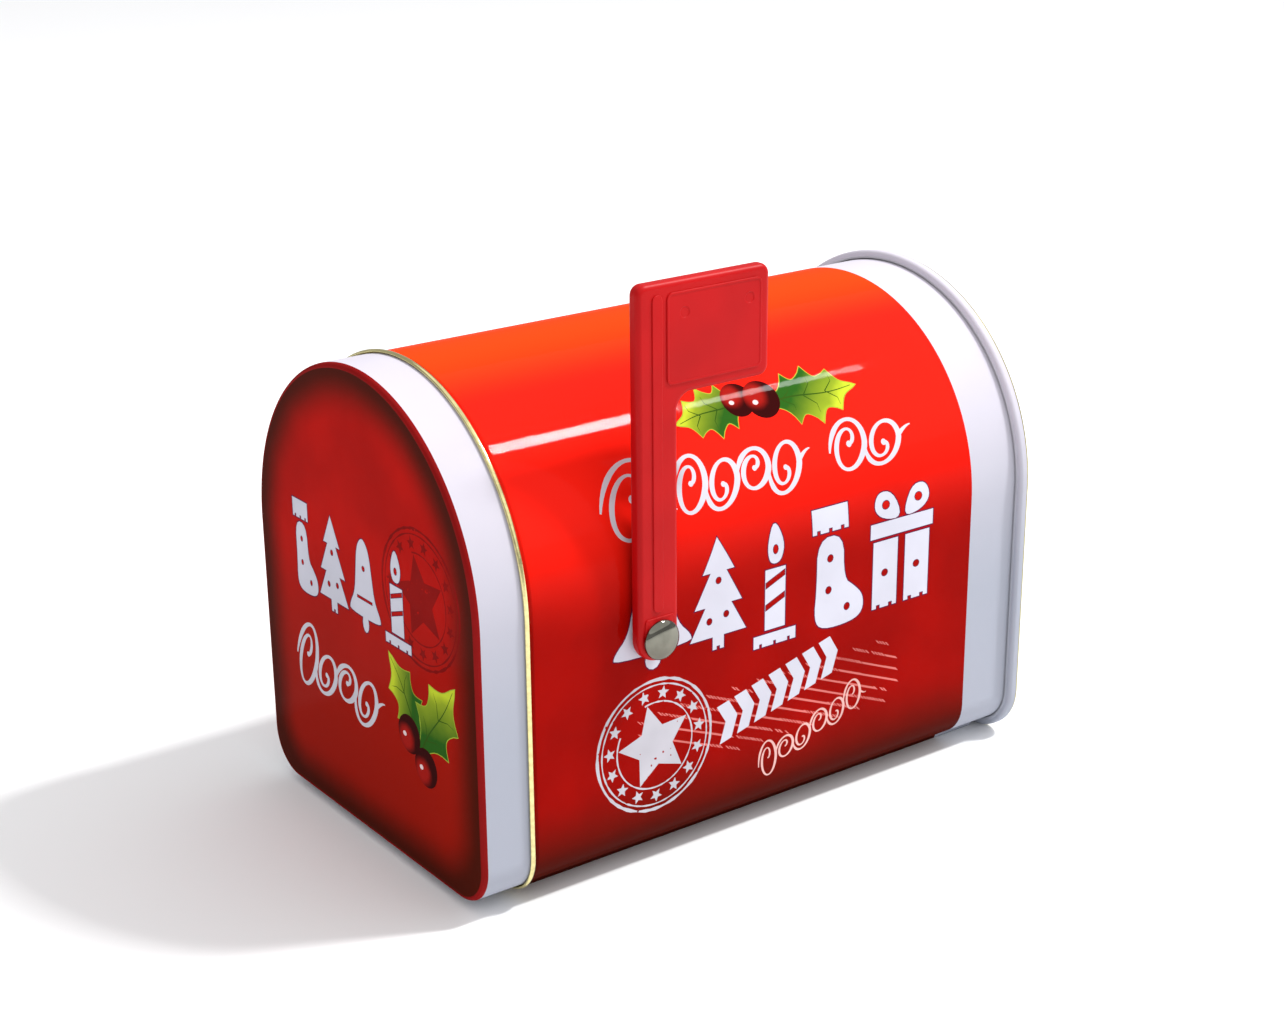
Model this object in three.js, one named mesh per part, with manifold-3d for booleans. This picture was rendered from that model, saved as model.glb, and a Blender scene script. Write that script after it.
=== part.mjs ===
// A tinplate money box in the shape of an arched letter box that lies on its long side.
// Millimetres, +Z up. The lid faces -Y, the flag hangs on the +X side, and Z = 0 is the table.
// The origin is under the middle of the box that holds the whole object.

import * as THREE from "three";
import { mergeVertices } from "three/addons/utils/BufferGeometryUtils.js";
import Module from "manifold-3d";

// ---------------------------------------------------------------- driving dimensions

// The tin
const TIN_WIDTH = 100; // across the flat sides, outside
const TIN_HEIGHT = 118; // underside of the sheet to the crown of the arch
const TIN_LENGTH = 167; // lid face to the back of the rear seam
const CORNER_RADIUS = 11; // the two long lower corners
const SHEET = 0.3; // tinplate thickness
const STAND_HEIGHT = 2.4; // the seam and the beads lift the underside this far off the table
const GAP = 0.3; // clearance between pieces that touch or slide

// The lid
const LID_DEPTH = 13.7; // face to the end of the rolled edge
const LID_EDGE_RADIUS = 1.2; // between the face and the skirt
const LID_CURL_RADIUS = 0.65; // outside of the roll on the skirt's free edge

// The neck that the lid slips over
const NECK_FRONT = 1.6; // lid face to the neck's hemmed front edge
const NECK_CURL_RADIUS = 0.6; // outside of the inward hem
const SHOULDER_LENGTH = 1.1; // the step from the neck up to the body

// The rear end, double-seamed to the body
const SEAM_LENGTH = 3; // along the tin
const SEAM_EDGE_RADIUS = 0.8; // rolled outer edge of the seam
const PANEL_RECESS = 3.5; // the end panel lies this far inside the seam's back face
const FLANGE_REACH = 1.6; // the body's flange, held inside the seam
const FLANGE_SETBACK = 1.5; // seam's back face to the flange

// The pressed beads along the underside
const BEAD_WIDTH = 4;
const BEAD_EDGE_RADIUS = 1.1;

// The lock seam that closes the wrap, inside along the middle of the underside
const LOCK_SEAM_WIDTH = 5;
const LOCK_SEAM_RISE = 0.6;

// The coin slot, across the crown
const SLOT_LENGTH = 34;
const SLOT_WIDTH = 5;
const SLOT_FROM_FRONT = 98;
const SLOT_LIP_DEPTH = 1; // the slot's edge is turned down inside

// The flag
const PIVOT_FROM_FRONT = 46.5;
const PIVOT_BELOW_ARCH = 10; // below the line where the flat side becomes the arch
const FLAG_STANDOFF = 0.6; // between the wall and the flag's back
const FLAG_THICKNESS = 3.7;
const FLAG_EDGE_RADIUS = 1.3;
const FLAG_RISE = 83; // pivot to the top edge
const ARM_WIDTH = 11.2;
const HEAD_REACH = 31.5; // pivot to the head's free edge
const HEAD_HEIGHT = 26;
const HEAD_CORNER_RADIUS = 2.5;
const HEAD_FILLET = 4; // between the arm and the head's lower edge
const RELIEF = 0.3; // the raised rib, panel and hub on the flag's front
const RIB_WIDTH = 2.7;
const RIB_FROM_EDGE = 3.9; // arm's leading edge to the rib
const PANEL_MARGIN = 2.6; // head's edges to the raised panel
const PANEL_CORNER_RADIUS = 1.5;
const HUB_RISE = 5.4; // the raised hub ends this far above the pivot

// The double-cap rivet
const CAP_RADIUS = 4.85;
const CAP_RISE = 2;
const CAP_RIM = 0.5; // thickness of the cap at its rim
const TUBE_RADIUS = 1.9; // the back cap's tube, which the flag turns on
const PIN_RADIUS = 1; // the front cap's pin, snapped into the tube
const WASHER_RADIUS = 5.2;
const WASHER_THICKNESS = 0.6;

// Roundness
const ARCH_STEPS = 40;
const CORNER_STEPS = 5;
const ROLL_STEPS = 6;
const BEND_STEPS = 2;
const RIVET_SIDES = 20;
const DOME_STEPS = 4;
const CUTTER_LENGTH = 20; // a drill longer than anything that it cuts through

// ---------------------------------------------------------------- places that follow

const HALF_WIDTH = TIN_WIDTH / 2;
const ARCH_START = TIN_HEIGHT - HALF_WIDTH; // height of the arch's centre
const NECK_INSET = SHEET + GAP; // outside of the neck, in from the body's outside
const SHOULDER_START = LID_DEPTH + GAP;
const SHOULDER_END = SHOULDER_START + SHOULDER_LENGTH;
const SEAM_FRONT = TIN_LENGTH - SEAM_LENGTH;
const BEAD_FRONT = SHOULDER_END + GAP;
const BEAD_BACK = SEAM_FRONT - GAP;
const FLANGE_BACK = TIN_LENGTH - FLANGE_SETBACK;
const PANEL_BACK = TIN_LENGTH - PANEL_RECESS;
const PANEL_INSET = SHEET + GAP; // outside of the wall that plugs the body's end
const PIVOT_HEIGHT = ARCH_START - PIVOT_BELOW_ARCH;
const TUBE_BORE = PIN_RADIUS + GAP;
const TURNING_BORE = TUBE_RADIUS + GAP;
const ARM_HALF = ARM_WIDTH / 2;

// Distances out from the outside of the wall that carries the flag
const FLAG_BACK = FLAG_STANDOFF;
const FLAG_FRONT = FLAG_BACK + FLAG_THICKNESS;
const FRONT_CAP_BASE = FLAG_FRONT + RELIEF + GAP;
const WASHER_OUTER = -SHEET - GAP;
const WASHER_INNER = WASHER_OUTER - WASHER_THICKNESS;
const BACK_CAP_BASE = WASHER_INNER - GAP;

const QUARTER = Math.PI / 2;
const ROLL_TURN = 2.9 * QUARTER; // how far a rolled edge turns back on itself
const BEND_RADIUS = SHEET * 2; // tightest inside bend of the sheet

// ---------------------------------------------------------------- solids and cuts

const wasm = await Module();
wasm.setup();

/** A closed geometry as a solid that can be joined and cut. */
function solid(geometry) {
  const bare = geometry.clone();
  bare.deleteAttribute("normal");
  bare.deleteAttribute("uv");
  const merged = mergeVertices(bare, 1e-4);
  return new wasm.Manifold(
    new wasm.Mesh({
      numProp: 3,
      vertProperties: new Float32Array(merged.attributes.position.array),
      triVerts: new Uint32Array(merged.index.array),
    }),
  );
}

/** A solid back as a geometry. */
function geometryOf(shape) {
  const mesh = shape.getMesh();
  const geometry = new THREE.BufferGeometry();
  geometry.setAttribute("position", new THREE.BufferAttribute(mesh.vertProperties, 3));
  geometry.setIndex(new THREE.BufferAttribute(mesh.triVerts, 1));
  geometry.computeVertexNormals();
  return geometry;
}

// ---------------------------------------------------------------- the tin's outline

/** The tin's outline from the front: each point with the direction that leads out of the tin. */
function tinOutline() {
  const points = [];
  const addArc = (centreX, centreZ, radius, from, steps, turn) => {
    for (let i = 0; i <= steps; i++) {
      const angle = from + (turn * i) / steps;
      const outX = Math.cos(angle);
      const outZ = Math.sin(angle);
      points.push({ x: centreX + radius * outX, z: centreZ + radius * outZ, outX, outZ });
    }
  };
  const cornerX = HALF_WIDTH - CORNER_RADIUS;
  addArc(0, ARCH_START, HALF_WIDTH, 0, ARCH_STEPS, Math.PI);
  addArc(-cornerX, CORNER_RADIUS, CORNER_RADIUS, Math.PI, CORNER_STEPS, QUARTER);
  addArc(cornerX, CORNER_RADIUS, CORNER_RADIUS, 3 * QUARTER, CORNER_STEPS, QUARTER);
  return points;
}

/**
 * A surface drawn round the tin's outline, as a lathe draws one round an axis.
 * Each profile point is [distance from the lid face, inset from the tin's outside].
 * A capped profile begins and ends with a flat face, and an uncapped one closes on itself.
 */
function drawnRound(profile, capped) {
  const outline = tinOutline();
  const count = outline.length;
  const positions = [];
  for (const [y, inset] of profile)
    for (const p of outline) positions.push(p.x - inset * p.outX, y, p.z - inset * p.outZ);
  const triangles = [];
  const bands = capped ? profile.length - 1 : profile.length;
  for (let k = 0; k < bands; k++) {
    const here = k * count;
    const next = ((k + 1) % profile.length) * count;
    for (let i = 0; i < count; i++) {
      const j = (i + 1) % count;
      triangles.push(here + i, next + i, next + j, here + i, next + j, here + j);
    }
  }
  if (capped) {
    const flat = outline.map((p) => new THREE.Vector2(p.x, p.z));
    const last = (profile.length - 1) * count;
    for (const [a, b, c] of THREE.ShapeUtils.triangulateShape(flat, [])) {
      triangles.push(a, b, c);
      triangles.push(last + a, last + c, last + b);
    }
  }
  const geometry = new THREE.BufferGeometry();
  geometry.setAttribute("position", new THREE.Float32BufferAttribute(positions, 3));
  geometry.setIndex(triangles);
  return geometry;
}

/** A solid block with the tin's outline, inset by the given distance. */
function tinBlock(inset, front, back) {
  return solid(drawnRound([[front, inset], [back, inset]], true));
}

/** Points of an arc in a profile, from one angle to another; angle 0 points to the tin's back. */
function profileArc(centreY, centreInset, radius, from, to, steps) {
  const points = [];
  for (let i = 0; i <= steps; i++) {
    const angle = from + ((to - from) * i) / steps;
    points.push([centreY + radius * Math.cos(angle), centreInset + radius * Math.sin(angle)]);
  }
  return points;
}

/**
 * The rolled edge of a sheet: out along the inside of the roll and back along its outside.
 * along is +1 for an edge at the back of its sheet and -1 for one at the front, and
 * inward is +1 for a roll into the tin and -1 for one out of it.
 */
function rolledEdge(centreY, centreInset, radius, along, inward) {
  const start = -inward * QUARTER;
  const end = start + along * inward * ROLL_TURN;
  const inside = profileArc(centreY, centreInset, radius - SHEET, start, end, ROLL_STEPS);
  const outside = profileArc(centreY, centreInset, radius, end, start, ROLL_STEPS);
  return [...inside, ...outside];
}

// ---------------------------------------------------------------- the sheet-metal pieces

/** The slip lid: a flat face, a rounded edge, the skirt and its outward roll. */
function lidGeometry() {
  const edge = LID_EDGE_RADIUS;
  const face = Math.PI;
  const side = 3 * QUARTER;
  const outerEdge = profileArc(edge, edge, edge, face, side, BEND_STEPS + 1);
  const innerEdge = profileArc(edge, edge, edge - SHEET, side, face, BEND_STEPS + 1);
  const rollY = LID_DEPTH - LID_CURL_RADIUS;
  const rollInset = SHEET - LID_CURL_RADIUS;
  const roll = rolledEdge(rollY, rollInset, LID_CURL_RADIUS, 1, -1);
  return drawnRound([...outerEdge, ...roll, ...innerEdge], true);
}

/** The wrap of the body, from the hemmed neck to the flange in the rear seam. */
function wrapGeometry() {
  const hemY = NECK_FRONT + NECK_CURL_RADIUS;
  const hem = rolledEdge(hemY, NECK_INSET + NECK_CURL_RADIUS, NECK_CURL_RADIUS, -1, 1);
  const shoulder = (depth) => {
    const points = [];
    for (let i = 0; i <= BEND_STEPS + 1; i++) {
      const t = i / (BEND_STEPS + 1);
      const ease = t * t * (3 - 2 * t);
      points.push([SHOULDER_START + t * SHOULDER_LENGTH, NECK_INSET * (1 - ease) + depth]);
    }
    return points;
  };
  const bendY = FLANGE_BACK - SHEET - BEND_RADIUS;
  const outerBend = profileArc(bendY, -BEND_RADIUS, BEND_RADIUS, QUARTER, 0, BEND_STEPS);
  const innerRadius = BEND_RADIUS + SHEET;
  const innerBend = profileArc(bendY, -BEND_RADIUS, innerRadius, 0, QUARTER, BEND_STEPS);
  const flangeTip = [
    [FLANGE_BACK - SHEET, -FLANGE_REACH],
    [FLANGE_BACK, -FLANGE_REACH],
  ];
  const outside = [...shoulder(0), ...outerBend, ...flangeTip];
  const inside = [...innerBend, ...shoulder(SHEET).reverse()];
  return drawnRound([...outside, ...inside, ...hem], false);
}

/** The flat plan of a slot or a bead: straight sides with half-round ends, along X. */
function stadium(length, width) {
  const radius = width / 2;
  const straight = length / 2 - radius;
  const shape = new THREE.Shape();
  shape.absarc(straight, 0, radius, -QUARTER, QUARTER, false);
  shape.absarc(-straight, 0, radius, QUARTER, 3 * QUARTER, false);
  return shape;
}

/** A pressed bead's outside or inside, on its plan, with a rounded underside. */
function beadBar(width, radius, bottom, top) {
  const length = BEAD_BACK - BEAD_FRONT - (BEAD_WIDTH - width);
  const bar = new THREE.ExtrudeGeometry(stadium(length, width), {
    depth: top - bottom - 2 * radius,
    bevelEnabled: true,
    bevelThickness: radius,
    bevelSize: radius,
    bevelOffset: -radius,
    bevelSegments: BEND_STEPS,
    curveSegments: CORNER_STEPS,
  });
  bar.rotateZ(QUARTER);
  bar.translate(0, (BEAD_FRONT + BEAD_BACK) / 2, bottom + radius);
  return bar;
}

/** A stadium plan across the tin over the coin slot, cut right through the crown. */
function slotBlock(margin) {
  const plan = stadium(SLOT_LENGTH + 2 * margin, SLOT_WIDTH + 2 * margin);
  const block = new THREE.ExtrudeGeometry(plan, {
    depth: HALF_WIDTH,
    bevelEnabled: false,
    curveSegments: CORNER_STEPS,
  });
  block.translate(0, SLOT_FROM_FRONT, TIN_HEIGHT - HALF_WIDTH / 2);
  return solid(block);
}

/** The whole body shell: the wrap with its beads, lock seam, coin slot and rivet hole. */
function bodyGeometry() {
  const core = tinBlock(SHEET, SHOULDER_END, SEAM_FRONT + SEAM_LENGTH);
  let body = solid(wrapGeometry());
  for (const side of [-1, 1]) {
    const beadX = side * (HALF_WIDTH - CORNER_RADIUS);
    const outer = beadBar(BEAD_WIDTH, BEAD_EDGE_RADIUS, -STAND_HEIGHT, CORNER_RADIUS);
    const innerWidth = BEAD_WIDTH - 2 * SHEET;
    const innerBottom = SHEET - STAND_HEIGHT;
    const inner = beadBar(innerWidth, BEAD_EDGE_RADIUS - SHEET, innerBottom, CORNER_RADIUS);
    outer.translate(beadX, 0, 0);
    inner.translate(beadX, 0, 0);
    body = body.add(solid(outer).subtract(core)).subtract(solid(inner));
  }
  const lockLength = PANEL_BACK - SHEET - GAP - SHOULDER_END;
  const lockBottom = SHEET / 2;
  const lockTop = SHEET + LOCK_SEAM_RISE;
  const lockSeam = new THREE.BoxGeometry(LOCK_SEAM_WIDTH, lockLength, lockTop - lockBottom);
  lockSeam.translate(0, SHOULDER_END + lockLength / 2, (lockBottom + lockTop) / 2);
  body = body.add(solid(lockSeam));
  const lipFront = SLOT_FROM_FRONT - SLOT_WIDTH;
  const lipBack = SLOT_FROM_FRONT + SLOT_WIDTH;
  const lipOuter = tinBlock(SHEET / 2, lipFront, lipBack);
  const lipInner = tinBlock(SHEET + SLOT_LIP_DEPTH, lipFront - SHEET, lipBack + SHEET);
  const lip = lipOuter.subtract(lipInner).intersect(slotBlock(SHEET));
  body = body.add(lip).subtract(slotBlock(0));
  const rivetHole = new THREE.CylinderGeometry(TURNING_BORE, TURNING_BORE, CUTTER_LENGTH, RIVET_SIDES);
  rivetHole.rotateZ(QUARTER);
  rivetHole.translate(HALF_WIDTH, PIVOT_FROM_FRONT, PIVOT_HEIGHT);
  return geometryOf(body.subtract(solid(rivetHole)));
}

/** The stamped end panel with the seam that folds over the body's flange. */
function rearPanelGeometry() {
  const panelFront = PANEL_BACK - SHEET;
  const seamInset = -STAND_HEIGHT;
  const radius = SEAM_EDGE_RADIUS;
  const topY = TIN_LENGTH - radius;
  const chuckInset = PANEL_INSET + SHEET;
  const bendInset = chuckInset + BEND_RADIUS;
  const bendY = PANEL_BACK + BEND_RADIUS;
  const innerRadius = BEND_RADIUS + SHEET;
  const outer = [
    ...profileArc(bendY, bendInset, BEND_RADIUS, Math.PI, 3 * QUARTER, BEND_STEPS),
    ...profileArc(topY, PANEL_INSET + SHEET - radius, radius, QUARTER, 0, BEND_STEPS),
    ...profileArc(topY, seamInset + radius, radius, 0, -QUARTER, BEND_STEPS),
    [SEAM_FRONT, seamInset],
    [SEAM_FRONT, -GAP],
  ];
  const inner = [
    [SEAM_FRONT + SHEET, -GAP],
    [SEAM_FRONT + SHEET, seamInset + SHEET],
    ...profileArc(topY, seamInset + radius, radius - SHEET, -QUARTER, 0, BEND_STEPS),
    ...profileArc(topY, PANEL_INSET + SHEET - radius, radius - SHEET, 0, QUARTER, BEND_STEPS),
    ...profileArc(bendY, bendInset, innerRadius, 3 * QUARTER, Math.PI, BEND_STEPS),
  ];
  return drawnRound([...outer, ...inner].reverse(), true);
}

// ---------------------------------------------------------------- the flag

/** Turns a plan drawn with X to the tin's back and Y up so that its depth leads out of the wall. */
const OUT_OF_WALL = new THREE.Matrix4().makeBasis(
  new THREE.Vector3(0, 1, 0),
  new THREE.Vector3(0, 0, 1),
  new THREE.Vector3(1, 0, 0),
);

/** A plan on the flag's face as a solid between two distances out from the wall. */
function plate(shape, from, to, radius = 0) {
  const geometry = new THREE.ExtrudeGeometry(shape, {
    depth: to - from - 2 * radius,
    bevelEnabled: radius > 0,
    bevelThickness: radius,
    bevelSize: radius,
    bevelOffset: -radius,
    bevelSegments: BEND_STEPS,
    curveSegments: CORNER_STEPS,
  });
  geometry.translate(0, 0, from + radius);
  geometry.applyMatrix4(OUT_OF_WALL);
  return solid(geometry);
}

/** A rectangle with rounded corners. */
function roundedRectangle(left, bottom, right, top, radius) {
  const shape = new THREE.Shape();
  shape.absarc(right - radius, bottom + radius, radius, -QUARTER, 0, false);
  shape.absarc(right - radius, top - radius, radius, 0, QUARTER, false);
  shape.absarc(left + radius, top - radius, radius, QUARTER, 2 * QUARTER, false);
  shape.absarc(left + radius, bottom + radius, radius, 2 * QUARTER, 3 * QUARTER, false);
  return shape;
}

/** The flag's outline about its pivot: the arm, its round foot and the head towards the back. */
function flagOutline() {
  const headBottom = FLAG_RISE - HEAD_HEIGHT;
  const corner = HEAD_CORNER_RADIUS;
  const shape = new THREE.Shape();
  shape.absarc(0, 0, ARM_HALF, -2 * QUARTER, 0, false);
  const filletX = ARM_HALF + HEAD_FILLET;
  shape.absarc(filletX, headBottom - HEAD_FILLET, HEAD_FILLET, 2 * QUARTER, QUARTER, true);
  shape.absarc(HEAD_REACH - corner, headBottom + corner, corner, -QUARTER, 0, false);
  shape.absarc(HEAD_REACH - corner, FLAG_RISE - corner, corner, 0, QUARTER, false);
  shape.absarc(-ARM_HALF + corner, FLAG_RISE - corner, corner, QUARTER, 2 * QUARTER, false);
  return shape;
}

/** The moulded flag: arm and head, with the raised rib, panel and hub on its front. */
function flagGeometry() {
  const sunk = FLAG_FRONT - RELIEF;
  const raised = FLAG_FRONT + RELIEF;
  const ribLeft = -ARM_HALF + RIB_FROM_EDGE;
  const ribTop = FLAG_RISE - PANEL_MARGIN;
  const ribRadius = RIB_WIDTH / 2;
  const rib = roundedRectangle(ribLeft, 0, ribLeft + RIB_WIDTH, ribTop, ribRadius);
  const panel = roundedRectangle(
    ribLeft + RIB_WIDTH + PANEL_MARGIN / 2,
    FLAG_RISE - HEAD_HEIGHT + PANEL_MARGIN,
    HEAD_REACH - PANEL_MARGIN,
    FLAG_RISE - PANEL_MARGIN,
    PANEL_CORNER_RADIUS,
  );
  const hubHalf = ARM_HALF - FLAG_EDGE_RADIUS;
  const hub = new THREE.Shape();
  hub.absarc(0, 0, hubHalf, -2 * QUARTER, 0, false);
  hub.lineTo(hubHalf, HUB_RISE);
  hub.lineTo(-hubHalf, HUB_RISE);
  const boreBlock = new THREE.CylinderGeometry(TURNING_BORE, TURNING_BORE, CUTTER_LENGTH, RIVET_SIDES);
  boreBlock.rotateZ(QUARTER);
  const bossLength = FLAG_THICKNESS / 2;
  const boss = new THREE.CylinderGeometry(hubHalf, hubHalf, bossLength, RIVET_SIDES);
  boss.rotateZ(QUARTER);
  boss.translate(GAP + bossLength / 2, 0, 0);
  const flag = plate(flagOutline(), FLAG_BACK, FLAG_FRONT, FLAG_EDGE_RADIUS)
    .add(plate(rib, sunk, raised))
    .add(plate(panel, sunk, raised))
    .add(plate(hub, sunk, raised))
    .add(solid(boss))
    .subtract(solid(boreBlock));
  return geometryOf(flag);
}

// ---------------------------------------------------------------- the rivet

/** A turned piece whose profile is [radius, distance out from the wall]. */
function turned(profile) {
  const points = profile.map(([radius, out]) => new THREE.Vector2(radius, out));
  return new THREE.LatheGeometry(points, RIVET_SIDES).rotateZ(-QUARTER);
}

/** The dome of a cap from its rim to the axis; side is +1 outwards and -1 into the tin. */
function dome(base, side) {
  const points = [];
  for (let i = 0; i <= DOME_STEPS; i++) {
    const angle = (i / DOME_STEPS) * QUARTER;
    const rise = CAP_RIM + (CAP_RISE - CAP_RIM) * Math.sin(angle);
    points.push([CAP_RADIUS * Math.cos(angle), base + side * rise]);
  }
  points[DOME_STEPS][0] = 0;
  return points;
}

/** The front cap with the pin that snaps into the back cap's tube. */
function rivetCapGeometry() {
  const pinEnd = BACK_CAP_BASE + GAP;
  return turned([
    [0, pinEnd],
    [PIN_RADIUS, pinEnd],
    [PIN_RADIUS, FRONT_CAP_BASE],
    [CAP_RADIUS - CAP_RIM / 2, FRONT_CAP_BASE],
    ...dome(FRONT_CAP_BASE, 1),
  ]);
}

/** The back cap with the tube that passes the washer, the wall and the flag. */
function rivetBackCapGeometry() {
  const tubeEnd = FRONT_CAP_BASE - GAP;
  const inside = dome(BACK_CAP_BASE, -1).reverse();
  return turned([
    ...inside,
    [CAP_RADIUS - CAP_RIM / 2, BACK_CAP_BASE],
    [TUBE_RADIUS, BACK_CAP_BASE],
    [TUBE_RADIUS, tubeEnd],
    [TUBE_BORE, tubeEnd],
    [TUBE_BORE, BACK_CAP_BASE],
    [0, BACK_CAP_BASE],
  ]);
}

/** The flat washer that spreads the rivet's load over the thin wall. */
function washerGeometry() {
  return turned([
    [TURNING_BORE, WASHER_INNER],
    [WASHER_RADIUS, WASHER_INNER],
    [WASHER_RADIUS, WASHER_OUTER],
    [TURNING_BORE, WASHER_OUTER],
    [TURNING_BORE, WASHER_INNER],
  ]);
}

// ---------------------------------------------------------------- assembly

/** A named mesh with its own material. */
function piece(name, geometry, color, roughness, metalness) {
  const material = new THREE.MeshStandardMaterial({ color, roughness, metalness });
  const mesh = new THREE.Mesh(geometry, material);
  mesh.name = name;
  return mesh;
}

const PRINT_RED = 0xc41a14;
const PRINT_WHITE = 0xe8e6ec;
const FLAG_RED = 0xd22326;
const CHROME = 0xd8dade;
const ZINC = 0xb4b6b8;

const flagAndRivet = new THREE.Group();
flagAndRivet.position.set(HALF_WIDTH, PIVOT_FROM_FRONT, PIVOT_HEIGHT);
flagAndRivet.add(piece("flag", flagGeometry(), FLAG_RED, 0.45, 0));
flagAndRivet.add(piece("rivet_cap", rivetCapGeometry(), CHROME, 0.08, 1));
flagAndRivet.add(piece("rivet_back_cap", rivetBackCapGeometry(), CHROME, 0.15, 1));
flagAndRivet.add(piece("rivet_washer", washerGeometry(), ZINC, 0.4, 1));

const tin = new THREE.Group();
tin.add(piece("body_shell", bodyGeometry(), PRINT_RED, 0.25, 0.2));
tin.add(piece("rear_panel", rearPanelGeometry(), PRINT_WHITE, 0.3, 0.2));
tin.add(piece("front_lid", lidGeometry(), PRINT_RED, 0.25, 0.2));
tin.add(flagAndRivet);

// The rivet reaches further out than the seam does on the other side, so the tin stands off centre.
const flagSideReach = HALF_WIDTH + FRONT_CAP_BASE + CAP_RISE;
const seamSideReach = HALF_WIDTH + STAND_HEIGHT;
tin.position.set((seamSideReach - flagSideReach) / 2, -TIN_LENGTH / 2, STAND_HEIGHT);

const moneyBox = new THREE.Group();
moneyBox.add(tin);

export default moneyBox;
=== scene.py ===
"""A printed tin money box shaped like an arched letter box, with a slip lid and a turning flag.

Sizes are millimetres in the tin's own measure: X across from the middle, Y back from the lid's face
and Z up from the underside of the sheet. Each piece turns them into metres in the shared frame.
"""

import logging
import math
import random
from dataclasses import dataclass, field, replace
from enum import Enum
from typing import Callable, Sequence

import bpy
import numpy as np
from mathutils import Matrix, Vector
from mathutils.geometry import delaunay_2d_cdt


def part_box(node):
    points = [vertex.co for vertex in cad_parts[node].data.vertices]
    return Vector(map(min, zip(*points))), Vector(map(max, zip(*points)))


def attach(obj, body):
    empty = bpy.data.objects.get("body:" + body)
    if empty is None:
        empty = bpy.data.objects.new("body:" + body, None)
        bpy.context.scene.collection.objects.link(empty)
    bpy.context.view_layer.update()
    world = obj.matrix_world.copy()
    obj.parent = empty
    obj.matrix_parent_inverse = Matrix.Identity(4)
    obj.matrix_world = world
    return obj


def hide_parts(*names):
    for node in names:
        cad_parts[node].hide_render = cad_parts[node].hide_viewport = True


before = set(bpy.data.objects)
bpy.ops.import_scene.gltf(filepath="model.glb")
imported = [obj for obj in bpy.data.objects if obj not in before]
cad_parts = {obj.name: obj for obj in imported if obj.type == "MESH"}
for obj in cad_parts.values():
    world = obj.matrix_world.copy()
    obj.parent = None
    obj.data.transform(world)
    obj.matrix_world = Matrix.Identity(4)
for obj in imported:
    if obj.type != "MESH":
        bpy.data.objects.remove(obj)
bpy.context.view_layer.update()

LOG = logging.getLogger("money_box")
MM = 0.001
QUARTER = math.pi / 2
WELD = 3  # decimals of a millimetre to which corners are joined
SAME = 1e-6  # corners nearer than this are one
TINY = 1e-9  # keeps a length from being nothing
RIVET_AT = (50.0, 46.5, 58.0)  # where the flag's pivot meets the wall
Point2 = tuple[float, float]
Point3 = tuple[float, float, float]
Colour = tuple[float, float, float]
Array = np.ndarray
Socket = bpy.types.NodeSocket


def colour(red: int, green: int, blue: int) -> Colour:
    """Turns a screen colour into a linear one.

    Args:
        red, green, blue: Its parts, from 0 to 255.

    Returns:
        The linear colour.
    """
    parts = []
    for value in (red, green, blue):
        share = value / 255
        parts.append(share / 12.92 if share <= 0.04045 else ((share + 0.055) / 1.055) ** 2.4)
    return parts[0], parts[1], parts[2]


def show(made: bpy.types.Object) -> None:
    """Puts an object in the scene."""
    bpy.context.scene.collection.objects.link(made)


def scaled(shade: Colour, share: float) -> Colour:
    """A colour made lighter or darker, and never above full."""
    return tuple(min(1.0, part * share) for part in shade)


# --- finishes


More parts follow.
